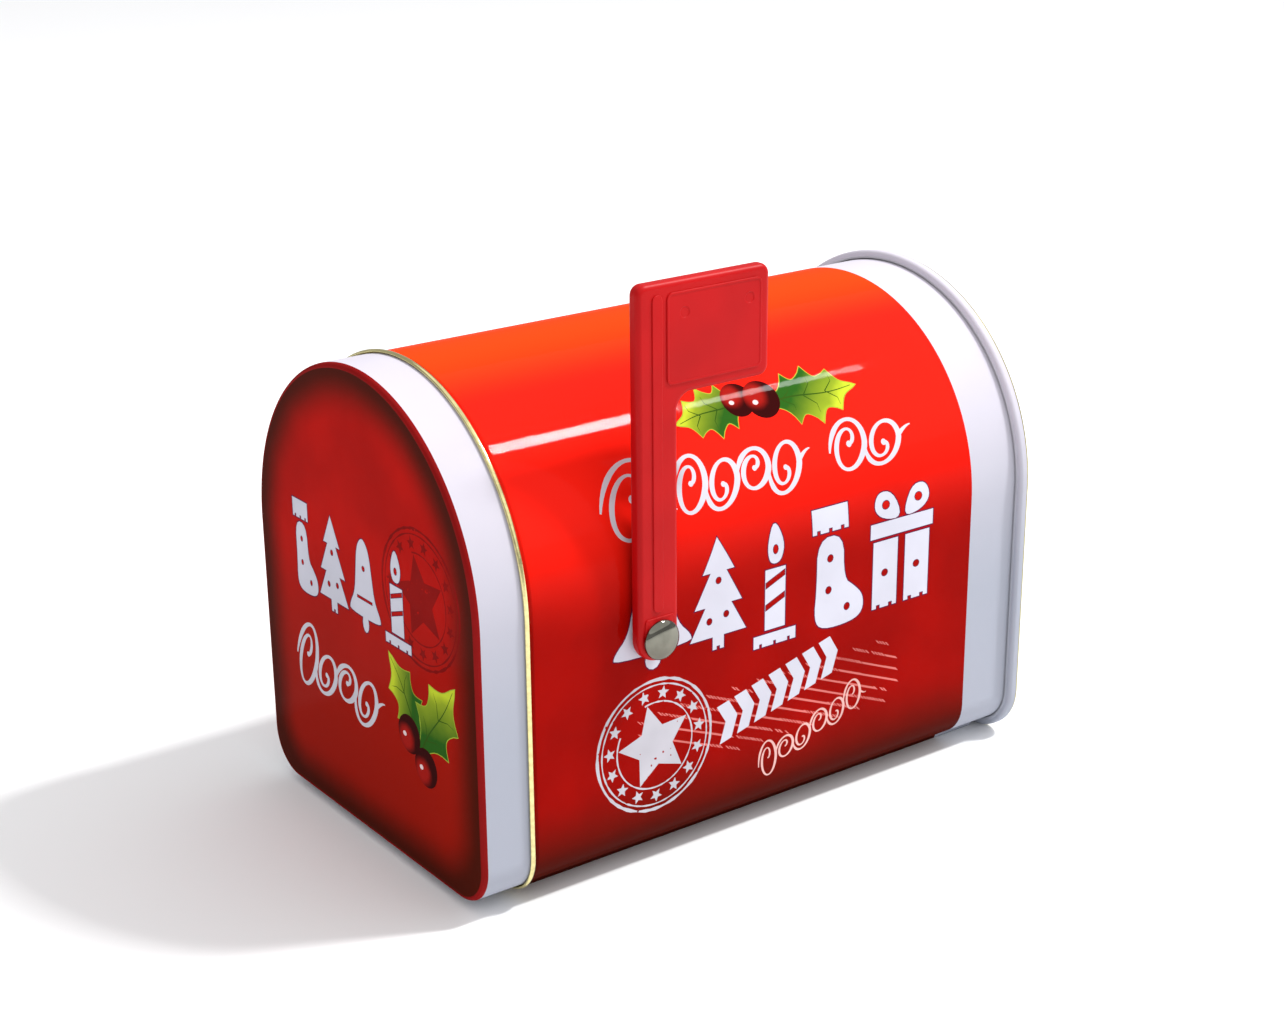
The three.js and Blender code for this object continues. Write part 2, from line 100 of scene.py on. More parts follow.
class Nodes:
    """Writes the nodes of one material."""

    def __init__(self, name: str) -> None:
        """Starts an empty material with its shader and output.

        Args:
            name: The material's name.
        """
        self.material = bpy.data.materials.new(name)
        self.material.use_nodes = True
        self.tree = self.material.node_tree
        self.tree.nodes.clear()
        self.shader = self.tree.nodes.new("ShaderNodeBsdfPrincipled")
        output = self.tree.nodes.new("ShaderNodeOutputMaterial")
        self.tree.links.new(self.shader.outputs["BSDF"], output.inputs["Surface"])

    def link(self, value: object, socket: Socket) -> None:
        """Fills a socket.

        Args:
            value: A number, a colour or another node's output.
            socket: Where it goes.
        """
        if isinstance(value, Socket):
            self.tree.links.new(value, socket)
        else:
            socket.default_value = value

    def node(self, kind: str, out: int | str = 0, **settings: object) -> Socket:
        """Adds a node.

        Args:
            kind: The node's type, without its usual first words.
            out: Which output to give back.
            **settings: Properties of the node, and its inputs by name with an "in_" in front.

        Returns:
            The chosen output of the new node.
        """
        made = self.tree.nodes.new("ShaderNode" + kind)
        for key, value in settings.items():
            if key.startswith("in_"):
                name = key[3:]
                self.link(value, made.inputs[int(name) if name.isdigit() else name])
            else:
                setattr(made, key, value)
        return made.outputs[out]

    def math(self, operation: str, first: object, second: object = 0.0) -> Socket:
        """One sum on two numbers."""
        return self.node("Math", operation=operation, in_0=first, in_1=second)

    def place(self) -> Socket:
        """The place on the piece, in metres of the shared frame at rest."""
        return self.node("TexCoord", "Object")

    def split(self, vector: Socket) -> list[Socket]:
        """The three parts of a vector."""
        made = self.node("SeparateXYZ", in_0=vector).node
        return list(made.outputs)

    def height(self) -> Socket:
        """The height above the table, in metres."""
        return self.split(self.place())[2]

    def cloud(self, scale: float, detail: float = 3.0, place: object = None) -> Socket:
        """Soft random noise from 0 to 1 over the piece."""
        where = place if place is not None else self.place()
        return self.node("TexNoise", "Fac", in_Vector=where, in_Scale=scale, in_Detail=detail)

    def mottled(self, noise: object, dark: Colour, light: Colour, middle: float) -> Socket:
        """A colour that noise moves from dark to light, over a middle share of the noise's range."""
        return self.ramp(noise, [(0.5 - middle / 2, dark), (0.5 + middle / 2, light)])

    def ramp(self, fac: object, stops: Sequence[tuple[float, Colour]]) -> Socket:
        """Makes a colour that changes along a number.

        Args:
            fac: The number.
            stops: Places along it with their colours.

        Returns:
            The colour.
        """
        made = self.node("ValToRGB", "Color", in_Fac=fac).node
        made.color_ramp.interpolation = "EASE" if len(stops) == 2 else "LINEAR"
        elements = made.color_ramp.elements
        while len(elements) < len(stops):
            elements.new(1.0)
        for element, (at, shade) in zip(elements, stops):
            element.position = at
            element.color = (*shade, 1.0)
        return made.outputs["Color"]

    def between(self, value: object, start: float, end: float) -> Socket:
        """How far a number is from one end to another, from 0 to 1, eased at both."""
        return self.node("MapRange", interpolation_type="SMOOTHSTEP", in_0=value, in_1=start, in_2=end)

    def blend(self, fac: object, first: object, second: object) -> Socket:
        """Makes a colour between two others.

        Args:
            fac: How far it is from the first to the second, from 0 to 1.
            first, second: The colours.

        Returns:
            The colour.
        """
        made = self.node("Mix", 2, data_type="RGBA").node
        for value, index in ((fac, 0), (first, 6), (second, 7)):
            if isinstance(value, tuple):
                value = (*value, 1.0)
            self.link(value, made.inputs[index])
        return made.outputs[2]

    def bump(self, height: object, strength: float, distance: float, coat: bool = False) -> None:
        """Raises the surface finely.

        Args:
            height: The relief, from 0 to 1.
            strength: How strongly it shows.
            distance: Its full height in metres.
            coat: Whether the clear coat follows it too.
        """
        made = self.node("Bump", in_Height=height, in_Strength=strength, in_Distance=distance)
        self.link(made, self.shader.inputs["Normal"])
        if coat:
            self.link(made, self.shader.inputs["Coat Normal"])

    def set(self, **inputs: object) -> None:
        """Sets the shader's inputs.

        Args:
            **inputs: Each input's value under its name, with _ for each space.
        """
        for key, value in inputs.items():
            if isinstance(value, tuple) and len(value) == 3:
                value = (*value, 1.0)
            self.link(value, self.shader.inputs[key.replace("_", " ")])


@dataclass(frozen=True)
class Finish:
    """A finish that a piece can wear."""

    name: str

    def make(self) -> bpy.types.Material:
        """The finish as a material."""
        raise NotImplementedError


@dataclass(frozen=True)
class Lacquer(Finish):
    """Printed colour under the tin's clear gloss lacquer."""

    shade: Colour
    mottle: float = 0.06
    mottle_below: float = 3.0
    mottle_scale: float = 45.0
    ink_roughness: float = 0.5
    coat: float = 0.06
    coat_roughness: float = 0.035
    peel: float = 0.02
    peel_scale: float = 260.0
    peel_height: float = 0.0004

    def shading(self, nodes: Nodes) -> Socket:
        """Makes the print's colour, slightly uneven as ink on tin is.

        Args:
            nodes: The material's nodes.

        Returns:
            The colour.
        """
        darker = scaled(self.shade, 1 - self.mottle_below * self.mottle)
        lighter = scaled(self.shade, 1 + self.mottle)
        return nodes.mottled(nodes.cloud(self.mottle_scale), darker, lighter, 0.5)

    def make(self) -> bpy.types.Material:
        """The finish as a material."""
        nodes = Nodes(self.name)
        nodes.set(Base_Color=self.shading(nodes), Roughness=self.ink_roughness, Specular_IOR_Level=0.0)
        nodes.set(Coat_Weight=self.coat, Coat_Roughness=self.coat_roughness)
        nodes.bump(nodes.cloud(self.peel_scale, 2.0), self.peel, self.peel_height, coat=True)
        return nodes.material


@dataclass(frozen=True)
class BodyRed(Lacquer):
    """The body's red print: dark at the underside from print and painted shade, with painted light over the
    arch and a painted orange reflection at its crown.
    """

    # print edge and painted shade: the red darkens where the sheet turns under towards the table
    dark: Colour = colour(70, 16, 7)
    print_edge_and_shade_to: float = 0.005
    red_from: float = 0.028
    # painted light: the red brightens up the arch as if more light fell on it from above
    painted_light: Colour = colour(246, 32, 20)
    painted_light_from: float = 0.062
    painted_light_to: float = 0.096
    # painted reflection: the top of the arch turns orange as if mirroring warm surroundings
    crown: Colour = colour(206, 72, 18)
    crown_reflection_from: float = 0.114
    crown_reflection_to: float = 0.1228

    def shading(self, nodes: Nodes) -> Socket:
        """Makes the red, whose painted light and shade change with the height above the table.

        Args:
            nodes: The material's nodes.

        Returns:
            The colour.
        """
        height, shade = nodes.height(), super().shading(nodes)
        # painted light up the arch, then a painted reflection at its top
        shade = nodes.blend(nodes.between(height, self.painted_light_from, self.painted_light_to), shade, self.painted_light)
        shade = nodes.blend(nodes.between(height, self.crown_reflection_from, self.crown_reflection_to), shade, self.crown)
        # painted shade at the underside, over the print's darker edge
        return nodes.blend(nodes.between(height, self.print_edge_and_shade_to, self.red_from), self.dark, shade)


@dataclass(frozen=True)
class BandWhite(Lacquer):
    """The white bands, with painted shade that greys them towards the table."""

    # painted shade: the white greys where less light reaches the lower wall
    low: Colour = colour(166, 170, 182)
    painted_shade_to: float = 0.04
    white_from: float = 0.112

    def shading(self, nodes: Nodes) -> Socket:
        """White with painted shade that greys it downwards."""
        share = nodes.between(nodes.height(), self.painted_shade_to, self.white_from)
        return nodes.blend(share, self.low, super().shading(nodes))


@dataclass(frozen=True)
class LidRed(Lacquer):
    """The lid face's red print with its soft dark border, and painted shade that darkens it towards the
    table.
    """

    centre: Point2 = (0.0, 0.0)
    arch_start: float = 0.0
    half_width: float = 0.05
    corner: float = 0.0185
    border: Colour = colour(72, 18, 6)
    border_width: float = 0.0142
    border_full: float = 0.0016
    wander: float = 0.0018
    wander_scale: float = 60.0
    # painted shade: the face's red darkens towards the table
    low: Colour = colour(152, 22, 8)
    painted_shade_to: float = 0.02
    high_from: float = 0.085

    def shading(self, nodes: Nodes) -> Socket:
        """Makes the red, darker within the border's width of the outline and, as painted shade, lower down.

        Args:
            nodes: The material's nodes.

        Returns:
            The colour.
        """
        red = super().shading(nodes)
        parts = nodes.split(nodes.place())
        across = nodes.math("ABSOLUTE", nodes.math("SUBTRACT", parts[0], self.centre[0]))
        up = nodes.math("SUBTRACT", parts[2], self.centre[1])
        side = nodes.math("MAXIMUM", nodes.math("SUBTRACT", across, self.half_width - self.corner))
        foot = nodes.math("MAXIMUM", nodes.math("SUBTRACT", self.corner, up))
        below = nodes.math("SUBTRACT", self.corner, self.reach(nodes, side, foot))
        rise = nodes.math("SUBTRACT", up, self.arch_start)
        above = nodes.math("SUBTRACT", self.half_width, self.reach(nodes, across, rise))
        in_arch = nodes.math("GREATER_THAN", rise, 0.0)
        depth = nodes.node("Mix", 0, in_0=in_arch, in_2=below, in_3=above)
        uneven = nodes.math("SUBTRACT", nodes.cloud(self.wander_scale), 0.5)
        depth = nodes.math("ADD", depth, nodes.math("MULTIPLY", uneven, self.wander))
        share = nodes.between(depth, self.border_full, self.border_width)
        # painted shade: darker towards the table
        red = nodes.blend(nodes.between(parts[2], self.painted_shade_to, self.high_from), self.low, red)
        return nodes.blend(share, self.border, red)

    @staticmethod
    def reach(nodes: Nodes, first: object, second: object) -> Socket:
        """The length of a flat vector with the given parts."""
        squares = nodes.math("ADD", nodes.math("POWER", first, 2.0), nodes.math("POWER", second, 2.0))
        return nodes.math("SQRT", squares)


@dataclass(frozen=True)
class LeafInk(Lacquer):
    """A printed leaf, from dark green to yellow green along its length."""

    tip: Colour = colour(190, 205, 50)
    side_share: float = 1.1
    uneven: float = 0.25
    uneven_scale: float = 160.0
    green_to: float = 0.38
    half_at: float = 0.85
    tip_from: float = 1.25

    def shading(self, nodes: Nodes) -> Socket:
        """Makes the green, which lightens along the leaf and towards one edge.

        Args:
            nodes: The material's nodes.

        Returns:
            The colour.
        """
        parts = nodes.split(nodes.node("UVMap", uv_map="print"))
        uneven = nodes.math("MULTIPLY", nodes.cloud(self.uneven_scale), self.uneven)
        sideways = nodes.math("MULTIPLY", parts[1], self.side_share)
        along = nodes.math("ADD", nodes.math("ADD", parts[0], uneven), sideways)
        middle = tuple((a + b) / 2 for a, b in zip(self.shade, self.tip))
        stops = [(self.green_to, self.shade), (self.half_at, middle), (self.tip_from, self.tip)]
        return nodes.ramp(along, stops)


@dataclass(frozen=True)
class BerryInk(Lacquer):
    """A printed berry, lit at its upper left and dark round its edge."""

    rim: Colour = colour(52, 8, 8)
    light: Point3 = (-0.3, -0.3, 0.0)
    uneven: float = 0.2
    uneven_scale: float = 300.0
    red_to: float = 0.45
    rim_from: float = 1.3

    def shading(self, nodes: Nodes) -> Socket:
        """Makes the dark red, which fades to the rim's colour away from the light.

        Args:
            nodes: The material's nodes.

        Returns:
            The colour.
        """
        from_light = nodes.node("VectorMath", operation="SUBTRACT", in_0=nodes.node("UVMap", uv_map="print"))
        from_light.node.inputs[1].default_value = self.light
        far = nodes.node("VectorMath", "Value", operation="LENGTH", in_0=from_light)
        uneven = nodes.math("MULTIPLY", nodes.cloud(self.uneven_scale), self.uneven)
        stops = [(self.red_to, self.shade), (self.rim_from, self.rim)]
        return nodes.ramp(nodes.math("ADD", far, uneven), stops)


@dataclass(frozen=True)
class BareMetal(Finish):
    """Tinplate or plated steel without print."""

    shade: Colour
    roughness: float
    streak: Point3 = (40.0, 900.0, 900.0)
    relief: float = 0.15
    relief_height: float = 0.00004
    dim: float = 0.78
    smoothest: float = 0.75
    roughest: float = 1.3

    def make(self) -> bpy.types.Material:
        """The finish as a material."""
        nodes = Nodes(self.name)
        drawn = nodes.node("VectorMath", operation="MULTIPLY", in_0=nodes.place())
        drawn.node.inputs[1].default_value = self.streak
        grain = nodes.cloud(1.0, 4.0, drawn)
        low, high = self.roughness * self.smoothest, self.roughness * self.roughest
        spread = nodes.node("MapRange", in_0=grain, in_3=low, in_4=high)
        nodes.set(Base_Color=nodes.mottled(grain, scaled(self.shade, self.dim), self.shade, 0.4))
        nodes.set(Metallic=1.0, Roughness=spread)
        nodes.bump(grain, self.relief, self.relief_height)
        return nodes.material


@dataclass(frozen=True)
class MouldedPlastic(Finish):
    """Satin moulded plastic with a fine sparked grain."""

    shade: Colour
    smoothest: float = 0.34
    roughest: float = 0.48
    shine: float = 0.13
    flow_scale: float = 55.0
    grain_scale: float = 2600.0
    dim: float = 0.86
    relief: float = 0.12
    relief_height: float = 0.00006

    def make(self) -> bpy.types.Material:
        """The finish as a material."""
        nodes = Nodes(self.name)
        flow = nodes.cloud(self.flow_scale, 2.0)
        grain = nodes.cloud(self.grain_scale, 2.0)
        nodes.set(Base_Color=nodes.mottled(flow, scaled(self.shade, self.dim), self.shade, 0.4))
        spread = nodes.node("MapRange", in_0=grain, in_3=self.smoothest, in_4=self.roughest)
        nodes.set(Roughness=spread, Specular_IOR_Level=self.shine)
        nodes.bump(grain, self.relief, self.relief_height)
        return nodes.material


@dataclass(frozen=True)
class StudioFloor(Finish):
    """Plain pale paper under the tin."""

    shade: Colour
    roughness: float = 0.85

    def make(self) -> bpy.types.Material:
        """The finish as a material."""
        nodes = Nodes(self.name)
        nodes.set(Base_Color=self.shade, Roughness=self.roughness, Specular_IOR_Level=0.0)
        return nodes.material


class Wear(Enum):
    """Every finish on the money box."""

    BODY_RED = BodyRed("body_red_print_painted_light_and_shade", colour(152, 8, 3))
    WHITE = BandWhite("white_print_and_painted_shade", colour(204, 199, 209), mottle=0.01)
    LID_RED = LidRed("lid_red_print_and_painted_shade", colour(182, 15, 7))
    LID_EDGE = Lacquer("lid_edge_print", colour(140, 22, 22))
    GOLD_EDGE = BareMetal("gold_lacquered_edge", colour(240, 228, 164), 0.16)
    SEAM_EDGE = BareMetal("gold_lacquered_fold", colour(170, 158, 88), 0.3)
    INSIDE = BareMetal("bare_tinplate", colour(205, 205, 200), 0.3)
    BOLD_WHITE = Lacquer("bold_white_ink", colour(206, 206, 218), mottle=0.03)
    OUTLINE = Lacquer("dark_outline_ink", colour(92, 24, 62))
    SCRIPT = Lacquer("script_white_ink", colour(204, 203, 212), mottle=0.03)
    STAMP = Lacquer("stamp_ink", colour(196, 194, 202), mottle=0.06)
    THIN_SCRIPT = Lacquer("thin_script_ink", colour(224, 178, 172), mottle=0.04)
    CANCEL = Lacquer("cancel_line_ink", colour(218, 118, 112), mottle=0.08)
    POSTMARK = Lacquer("postmark_ink", colour(138, 12, 8), mottle=0.1)
    LEAF = LeafInk("holly_leaf_ink", colour(42, 92, 26))
    LEAF_EDGE = Lacquer("holly_edge_ink", colour(158, 182, 62))
    LEAF_VEIN = Lacquer("holly_vein_ink", colour(52, 86, 22))
    BERRY = BerryInk("berry_ink", colour(160, 26, 20))
    BERRY_SPOT = Lacquer("berry_light_ink", colour(236, 214, 214))
    FLAG = MouldedPlastic("flag_red_plastic", colour(186, 13, 16))
    # painted reflection: the chrome is darkened to stand for the dark surroundings it would mirror
    CHROME = BareMetal("rivet_chrome_painted_dark_reflection", colour(128, 127, 116), 0.06, (300.0, 300.0, 300.0), 0.01)
    ZINC = BareMetal("washer_zinc_plate", colour(182, 184, 188), 0.35, (250.0, 250.0, 250.0))


# --- making a mesh


@dataclass(frozen=True)
class TinPlace:
    """Where the tin's own measure starts in the shared frame, in metres."""

    x: float
    y: float
    z: float

    @classmethod
    def from_frame(cls, stand_height: float) -> "TinPlace":
        """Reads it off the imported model: mid-width, the lid's face and the underside.

        Args:
            stand_height: How far the sheet's underside is above the table.

        Returns:
            The tin's place.
        """
        seam_low, seam_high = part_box("rear_panel")
        lid_low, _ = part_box("front_lid")
        return cls((seam_low.x + seam_high.x) / 2, lid_low.y, seam_low.z + stand_height * MM)

    def row(self, points: Array) -> Array:
        """Points in millimetres of the tin's measure as metres in the shared frame."""
        return np.array([self.x, self.y, self.z]) + points * MM


class Piece:
    """Gathers the corners and faces of one piece, then makes its mesh."""

    def __init__(self, name: str) -> None:
        """Starts an empty piece.

        Args:
            name: The piece's name in plain words.
        """
        self.name = name
        self.corners: list[Point3] = []
        self.index: dict[Point3, int] = {}
        self.faces: list[list[int]] = []
        self.normals: list[Array] = []
        self.maps: list[Point2] = []
        self.worn: list[Wear] = []

    def add(
        self,
        points: Array,
        normals: Array,
        faces: Sequence[Sequence[int]],
        wear: Wear | Sequence[Wear],
        maps: Sequence[Sequence[Point2]] | None = None,
    ) -> None:
        """Adds one stretch of surface, joined to what is there, all facing the way of its normals.

        Args:
            points: Corners in millimetres.
            normals: The smooth surface's direction at each corner.
            faces: Corner numbers of each face, all turned the same way.
            wear: One finish, or one for each face.
            maps: For each face, a flat place on its print for each corner.
        """
        keys = [tuple(p) for p in np.round(points, WELD).tolist()]
        facing = 0.0
        for f in faces:
            a, b, c = points[f[0]], points[f[1]], points[f[2]]
            facing += float(np.dot(np.cross(b - a, c - a), normals[f[0]]))
        for k, f in enumerate(faces):
            order = list(range(len(f)))
            if facing < 0:
                order.reverse()
            ids = []
            loops = []
            for i in order:
                key = keys[f[i]]
                if key not in self.index:
                    self.index[key] = len(self.corners)
                    self.corners.append(key)
                if self.index[key] not in ids:
                    ids.append(self.index[key])
                    loops.append(i)
            if len(ids) < 3:
                continue
            self.faces.append(ids)
            self.normals.extend(normals[f[i]] for i in loops)
            self.maps.extend(maps[k][i] if maps else (0.0, 0.0) for i in loops)
            self.worn.append(wear if isinstance(wear, Wear) else wear[k])

    def build(self, place: TinPlace, body: str, slot: str, *nodes: str) -> bpy.types.Object:
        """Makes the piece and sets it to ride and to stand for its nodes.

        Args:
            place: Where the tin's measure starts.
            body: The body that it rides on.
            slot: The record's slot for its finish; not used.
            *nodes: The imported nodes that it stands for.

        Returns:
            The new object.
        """
        mesh = bpy.data.meshes.new(self.name)
        mesh.from_pydata(place.row(np.array(self.corners)).tolist(), [], self.faces)
        kinds = sorted(set(self.worn), key=list(Wear).index)
        for kind in kinds:
            mesh.materials.append(FINISHES.of(kind))
        mesh.polygons.foreach_set("material_index", [kinds.index(w) for w in self.worn])
        mesh.polygons.foreach_set("use_smooth", [True] * len(self.faces))
        layer = mesh.uv_layers.new(name="print")
        layer.data.foreach_set("uv", np.array(self.maps, np.float32).ravel())
        mesh.update()
        mesh.normals_split_custom_set([Vector(n) for n in self.normals])
        made = bpy.data.objects.new(self.name, mesh)
        show(made)
        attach(made, body)
        if nodes:
            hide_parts(*nodes)
        LOG.info("%s: %d faces, rides on %s", self.name, len(self.faces), body)
        return made


class FinishShelf:
    """Keeps one material for each finish."""

    def __init__(self) -> None:
        """Starts with none made."""
        self.made: dict[Wear, bpy.types.Material] = {}

    def of(self, wear: Wear) -> bpy.types.Material:
        """The material of a finish, made when it is first asked for."""
        return self.made.get(wear) or self.made.setdefault(wear, wear.value.make())

    def put(self, wear: Wear, finish: Finish) -> None:
        """Makes a finish's material from another version of it."""
        self.made[wear] = finish.make()


FINISHES = FinishShelf()


# --- outlines and profiles


@dataclass(frozen=True)
class Knot:
    """A point of a profile, with the angle it faces, or None at a sharp corner."""

    y: float
    inset: float
    facing: float | None = None

    @property
    def sharp(self) -> "Knot":
        """The same point as a sharp corner."""
        return Knot(self.y, self.inset)


def eased(share: float | Array) -> float | Array:
    """A share from 0 to 1 that starts and ends gently."""
    return share * share * (3 - 2 * share)


def bend(
    y: float, inset: float, radius: float, start: float, end: float, steps: int, side: int = 1
) -> list[Knot]:
    """An arc of a profile.

    Args:
        y: The arc's centre along the tin.
        inset: The arc's centre, in from the tin's outside.
        radius: The arc's radius.
        start: First angle; 0 points to the tin's back and a quarter turn points inwards.
        end: Last angle.
        steps: How many parts to cut it into.
        side: +1 if the metal is inside the arc and -1 if it is outside.

    Returns:
        The arc's knots.
    """
    knots = []
    for i in range(steps + 1):
        angle = start + (end - start) * i / steps
        facing = angle if side > 0 else angle + math.pi
        knots.append(Knot(y + radius * math.cos(angle), inset + radius * math.sin(angle), facing))
    return knots


@dataclass(frozen=True)
class TinOutline:
    """The arched outline of the tin, seen from the front.

    Lengths round it start so that on the flag's side they are the height: up that side, over the
    arch, down the other side and across the underside to its middle.
    """

    half_width: float = 50.0
    height: float = 118.0
    corner: float = 11.0
    arch_steps: int = 108
    corner_steps: int = 12

    @property
    def arch_start(self) -> float:
        """Height of the arch's centre."""
        return self.height - self.half_width

    @property
    def arch_end(self) -> float:
        """Length round to where the arch meets the far side."""
        return self.arch_start + math.pi * self.half_width

    @property
    def far_foot(self) -> float:
        """Length round to where the far side meets its lower corner."""
        return self.arch_end + self.arch_start - self.corner

    @property
    def corner_length(self) -> float:
        """Length round one lower corner."""
        return self.corner * QUARTER

    @property
    def near_floor(self) -> float:
        """Length, below zero, to where the flag side's corner meets the underside."""
        return self.corner - self.corner_length

    @property
    def far_floor(self) -> float:
        """Length round to where the far side's corner meets the underside."""
        return self.far_foot + self.corner_length

    @property
    def ends(self) -> Point2:
        """The first and last length, both at the middle of the underside."""
        flat = self.half_width - self.corner
        return self.near_floor - flat, self.far_floor + flat

    @property
    def crown(self) -> float:
        """Length round to the top of the arch."""
        return self.arch_start + self.half_width * QUARTER

    def at(self, lengths: Array) -> tuple[Array, Array]:
        """Finds places on the outline.

        Args:
            lengths: Their lengths round it.

        Returns:
            The points and their outward directions, both as x and z.
        """
        s = np.asarray(lengths, float)
        none, half, corner, flat = 0 * s, self.half_width, self.corner, self.half_width - self.corner
        limits = (self.near_floor, corner, self.arch_start, self.arch_end, self.far_foot, self.far_floor)

        def choose(*values: float | Array) -> Array:
            """The value of the stretch that each length lies in, from the underside round to it again."""
            first = [none + value for value in values[:-1]]
            return np.select([s < limit for limit in limits], first, none + values[-1])

        near_turn, far_turn = (s - corner) / corner, math.pi + (s - self.far_foot) / corner
        arch_turn = (s - self.arch_start) / half
        turn = choose(-QUARTER, near_turn, 0, arch_turn, math.pi, far_turn, 3 * QUARTER)
        near_x, far_x = flat - (self.near_floor - s), -flat + (s - self.far_floor)
        x = choose(near_x, flat, half, 0, -half, -flat, far_x)
        z = choose(0, corner, s, self.arch_start, self.arch_start - (s - self.arch_end), corner, 0)
        reach = choose(0, corner, 0, half, 0, corner, 0)
        out = np.stack([np.cos(turn), np.sin(turn)], -1)
        return np.stack([x, z], -1) + out * reach[..., None], out

    def stations(self, extra: Sequence[float] = ()) -> Array:
        """Finds the lengths where the sheet is divided.

        Args:
            extra: More lengths to divide it at.

        Returns:
            The lengths in order, from end to end.
        """
        first, last = self.ends
        near = np.linspace(self.near_floor, self.corner, self.corner_steps + 1)
        arch = np.linspace(self.arch_start, self.arch_end, self.arch_steps + 1)
        far = np.linspace(self.far_foot, self.far_floor, self.corner_steps + 1)
        every = np.concatenate([[first, last], near, arch, far, np.asarray(extra, float)])
        return np.unique(np.round(every, WELD + 1))


class Sweep:
    """Draws profiles round a closed loop. A profile's two measures are its way along and its inset."""

    def ring(self, y: float, inset: float) -> Array:
        """One ring of corners, at a way along and an inset."""
        raise NotImplementedError

    def ways(self) -> tuple[Array, Array]:
        """For each corner of a ring, the direction along and the direction of the inset."""
        raise NotImplementedError

    def draw(self, piece: Piece, knots: Sequence[Knot], wear: Wear | Callable[[int], Wear]) -> None:
        """Adds the surface along a profile.

        Args:
            piece: What gets it.
            knots: The profile.
            wear: Its finish, or a function that gives each stretch's finish.
        """
        along, inward = self.ways()
        count = len(inward)
        faces = [(i, (i + 1) % count, count + (i + 1) % count, count + i) for i in range(count)]
        for k, (first, last) in enumerate(zip(knots, knots[1:])):
            straight = math.atan2(last.inset - first.inset, last.y - first.y) - QUARTER
            rings, normals = [], []
            for knot in (first, last):
                facing = straight if knot.facing is None else knot.facing
                rings.append(self.ring(knot.y, knot.inset))
                normals.append(along * math.cos(facing) + inward * math.sin(facing))
            worn = wear if isinstance(wear, Wear) else wear(k)
            piece.add(np.concatenate(rings), np.concatenate(normals), faces, worn)

    def cap(self, piece: Piece, y: float, inset: float, towards: int, wear: Wear) -> None:
        """Closes a ring with a flat face.

        Args:
            piece: What gets it.
            y: The ring's way along.
            inset: Its inset.
            towards: +1 to face along and -1 to face back.
            wear: Its finish.
        """
        ring = self.ring(y, inset)
        along, _ = self.ways()
        piece.add(ring, along * towards, [tuple(range(len(ring)))], wear)


@dataclass(frozen=True)
class DrawnRound(Sweep):
    """Draws profiles round the tin's outline, as a lathe draws them round an axis."""

    outline: TinOutline
    stations: Array

    def ring(self, y: float, inset: float) -> Array:
        """Draws one ring.

        Args:
            y: Its distance from the lid's face.
            inset: Its way in from the outside.

        Returns:
            Its corners.
        """
        points, out = self.outline.at(self.stations[:-1])
        flat = points - inset * out
        return np.stack([flat[:, 0], np.full(len(flat), y), flat[:, 1]], -1)

    def ways(self) -> tuple[Array, Array]:
        """Back along the tin, and in from its outside."""
        _, out = self.outline.at(self.stations[:-1])
        along = np.tile([0.0, 1.0, 0.0], (len(out), 1))
        return along, np.stack([-out[:, 0], np.zeros(len(out)), -out[:, 1]], -1)


@dataclass(frozen=True)
class PlateRound(Sweep):
    """Draws profiles round a plan on the wall that carries the flag; its way along leads out of the wall."""

    wall: Point3
    plan: Array
    outward: Array

    @classmethod
    def of_circle(cls, wall: Point3, radius: float, sides: int = 56) -> "PlateRound":
        """Makes a round plan.

        Args:
            wall: The point of the wall that it goes round.
            radius: Its radius.
            sides: How many sides it has.

        Returns:
            The sweep round it.
        """
        turns = np.linspace(0, 2 * math.pi, sides, endpoint=False)
        out = np.stack([np.cos(turns), np.sin(turns)], -1)
        return cls(wall, out * radius, out)

    def at(self, flat: Array, y: float) -> Array:
        """Places of the plan at a distance out of the wall."""
        return np.array(self.wall) + np.stack([np.full(len(flat), y), flat[:, 0], flat[:, 1]], -1)

    def ring(self, y: float, inset: float) -> Array:
        """One ring of corners, at a distance out of the wall and an inset from the plan."""
        return self.at(self.plan - inset * self.outward, y)

    def ways(self) -> tuple[Array, Array]:
        """Out of the wall, and in from the plan."""
        none = np.zeros(len(self.plan))
        inward = np.stack([none, -self.outward[:, 0], -self.outward[:, 1]], -1)
        return np.stack([none + 1, none, none], -1), inward

    def face(
        self, piece: Piece, y: float, inset: float, towards: int, wear: Wear, holes: Sequence[Array]
    ) -> None:
        """Closes a ring with a flat face that has holes.

        Args:
            piece: What gets it.
            y: The ring's way out of the wall.
            inset: Its inset.
            towards: +1 to face out of the wall and -1 to face into it.
            wear: Its finish.
            holes: The plan corners of each hole.
        """
        sheet = FlatSheet([tuple(p) for p in self.plan - inset * self.outward], holes)
        flat, faces, wears, maps = sheet.divide(Drawing(), lambda middles: [wear] * len(middles))
        normals = np.tile([float(towards), 0.0, 0.0], (len(flat), 1))
        piece.add(self.at(flat, y), normals, faces, wears, maps)


# --- printed shapes


def circle(centre: Point2, radius: float, sides: int = 24, start: float = 0.0) -> list[Point2]:
    """The corners of a round shape."""
    turns = [start + 2 * math.pi * i / sides for i in range(sides)]
    return [(centre[0] + radius * math.cos(a), centre[1] + radius * math.sin(a)) for a in turns]


def pointed_star(centre: Point2, radius: float, waist: float, tilt: float = QUARTER) -> list[Point2]:
    """Draws a five-pointed star.

    Args:
        centre: Its middle.
        radius: How far its points reach.
        waist: How far its hollows reach, as a share of the radius.
        tilt: The direction of its first point.

    Returns:
        Its corners.
    """
    corners = []
    for i in range(10):
        reach = radius if i % 2 == 0 else radius * waist
        angle = tilt + math.pi * i / 5
        corners.append((centre[0] + reach * math.cos(angle), centre[1] + reach * math.sin(angle)))
    return corners


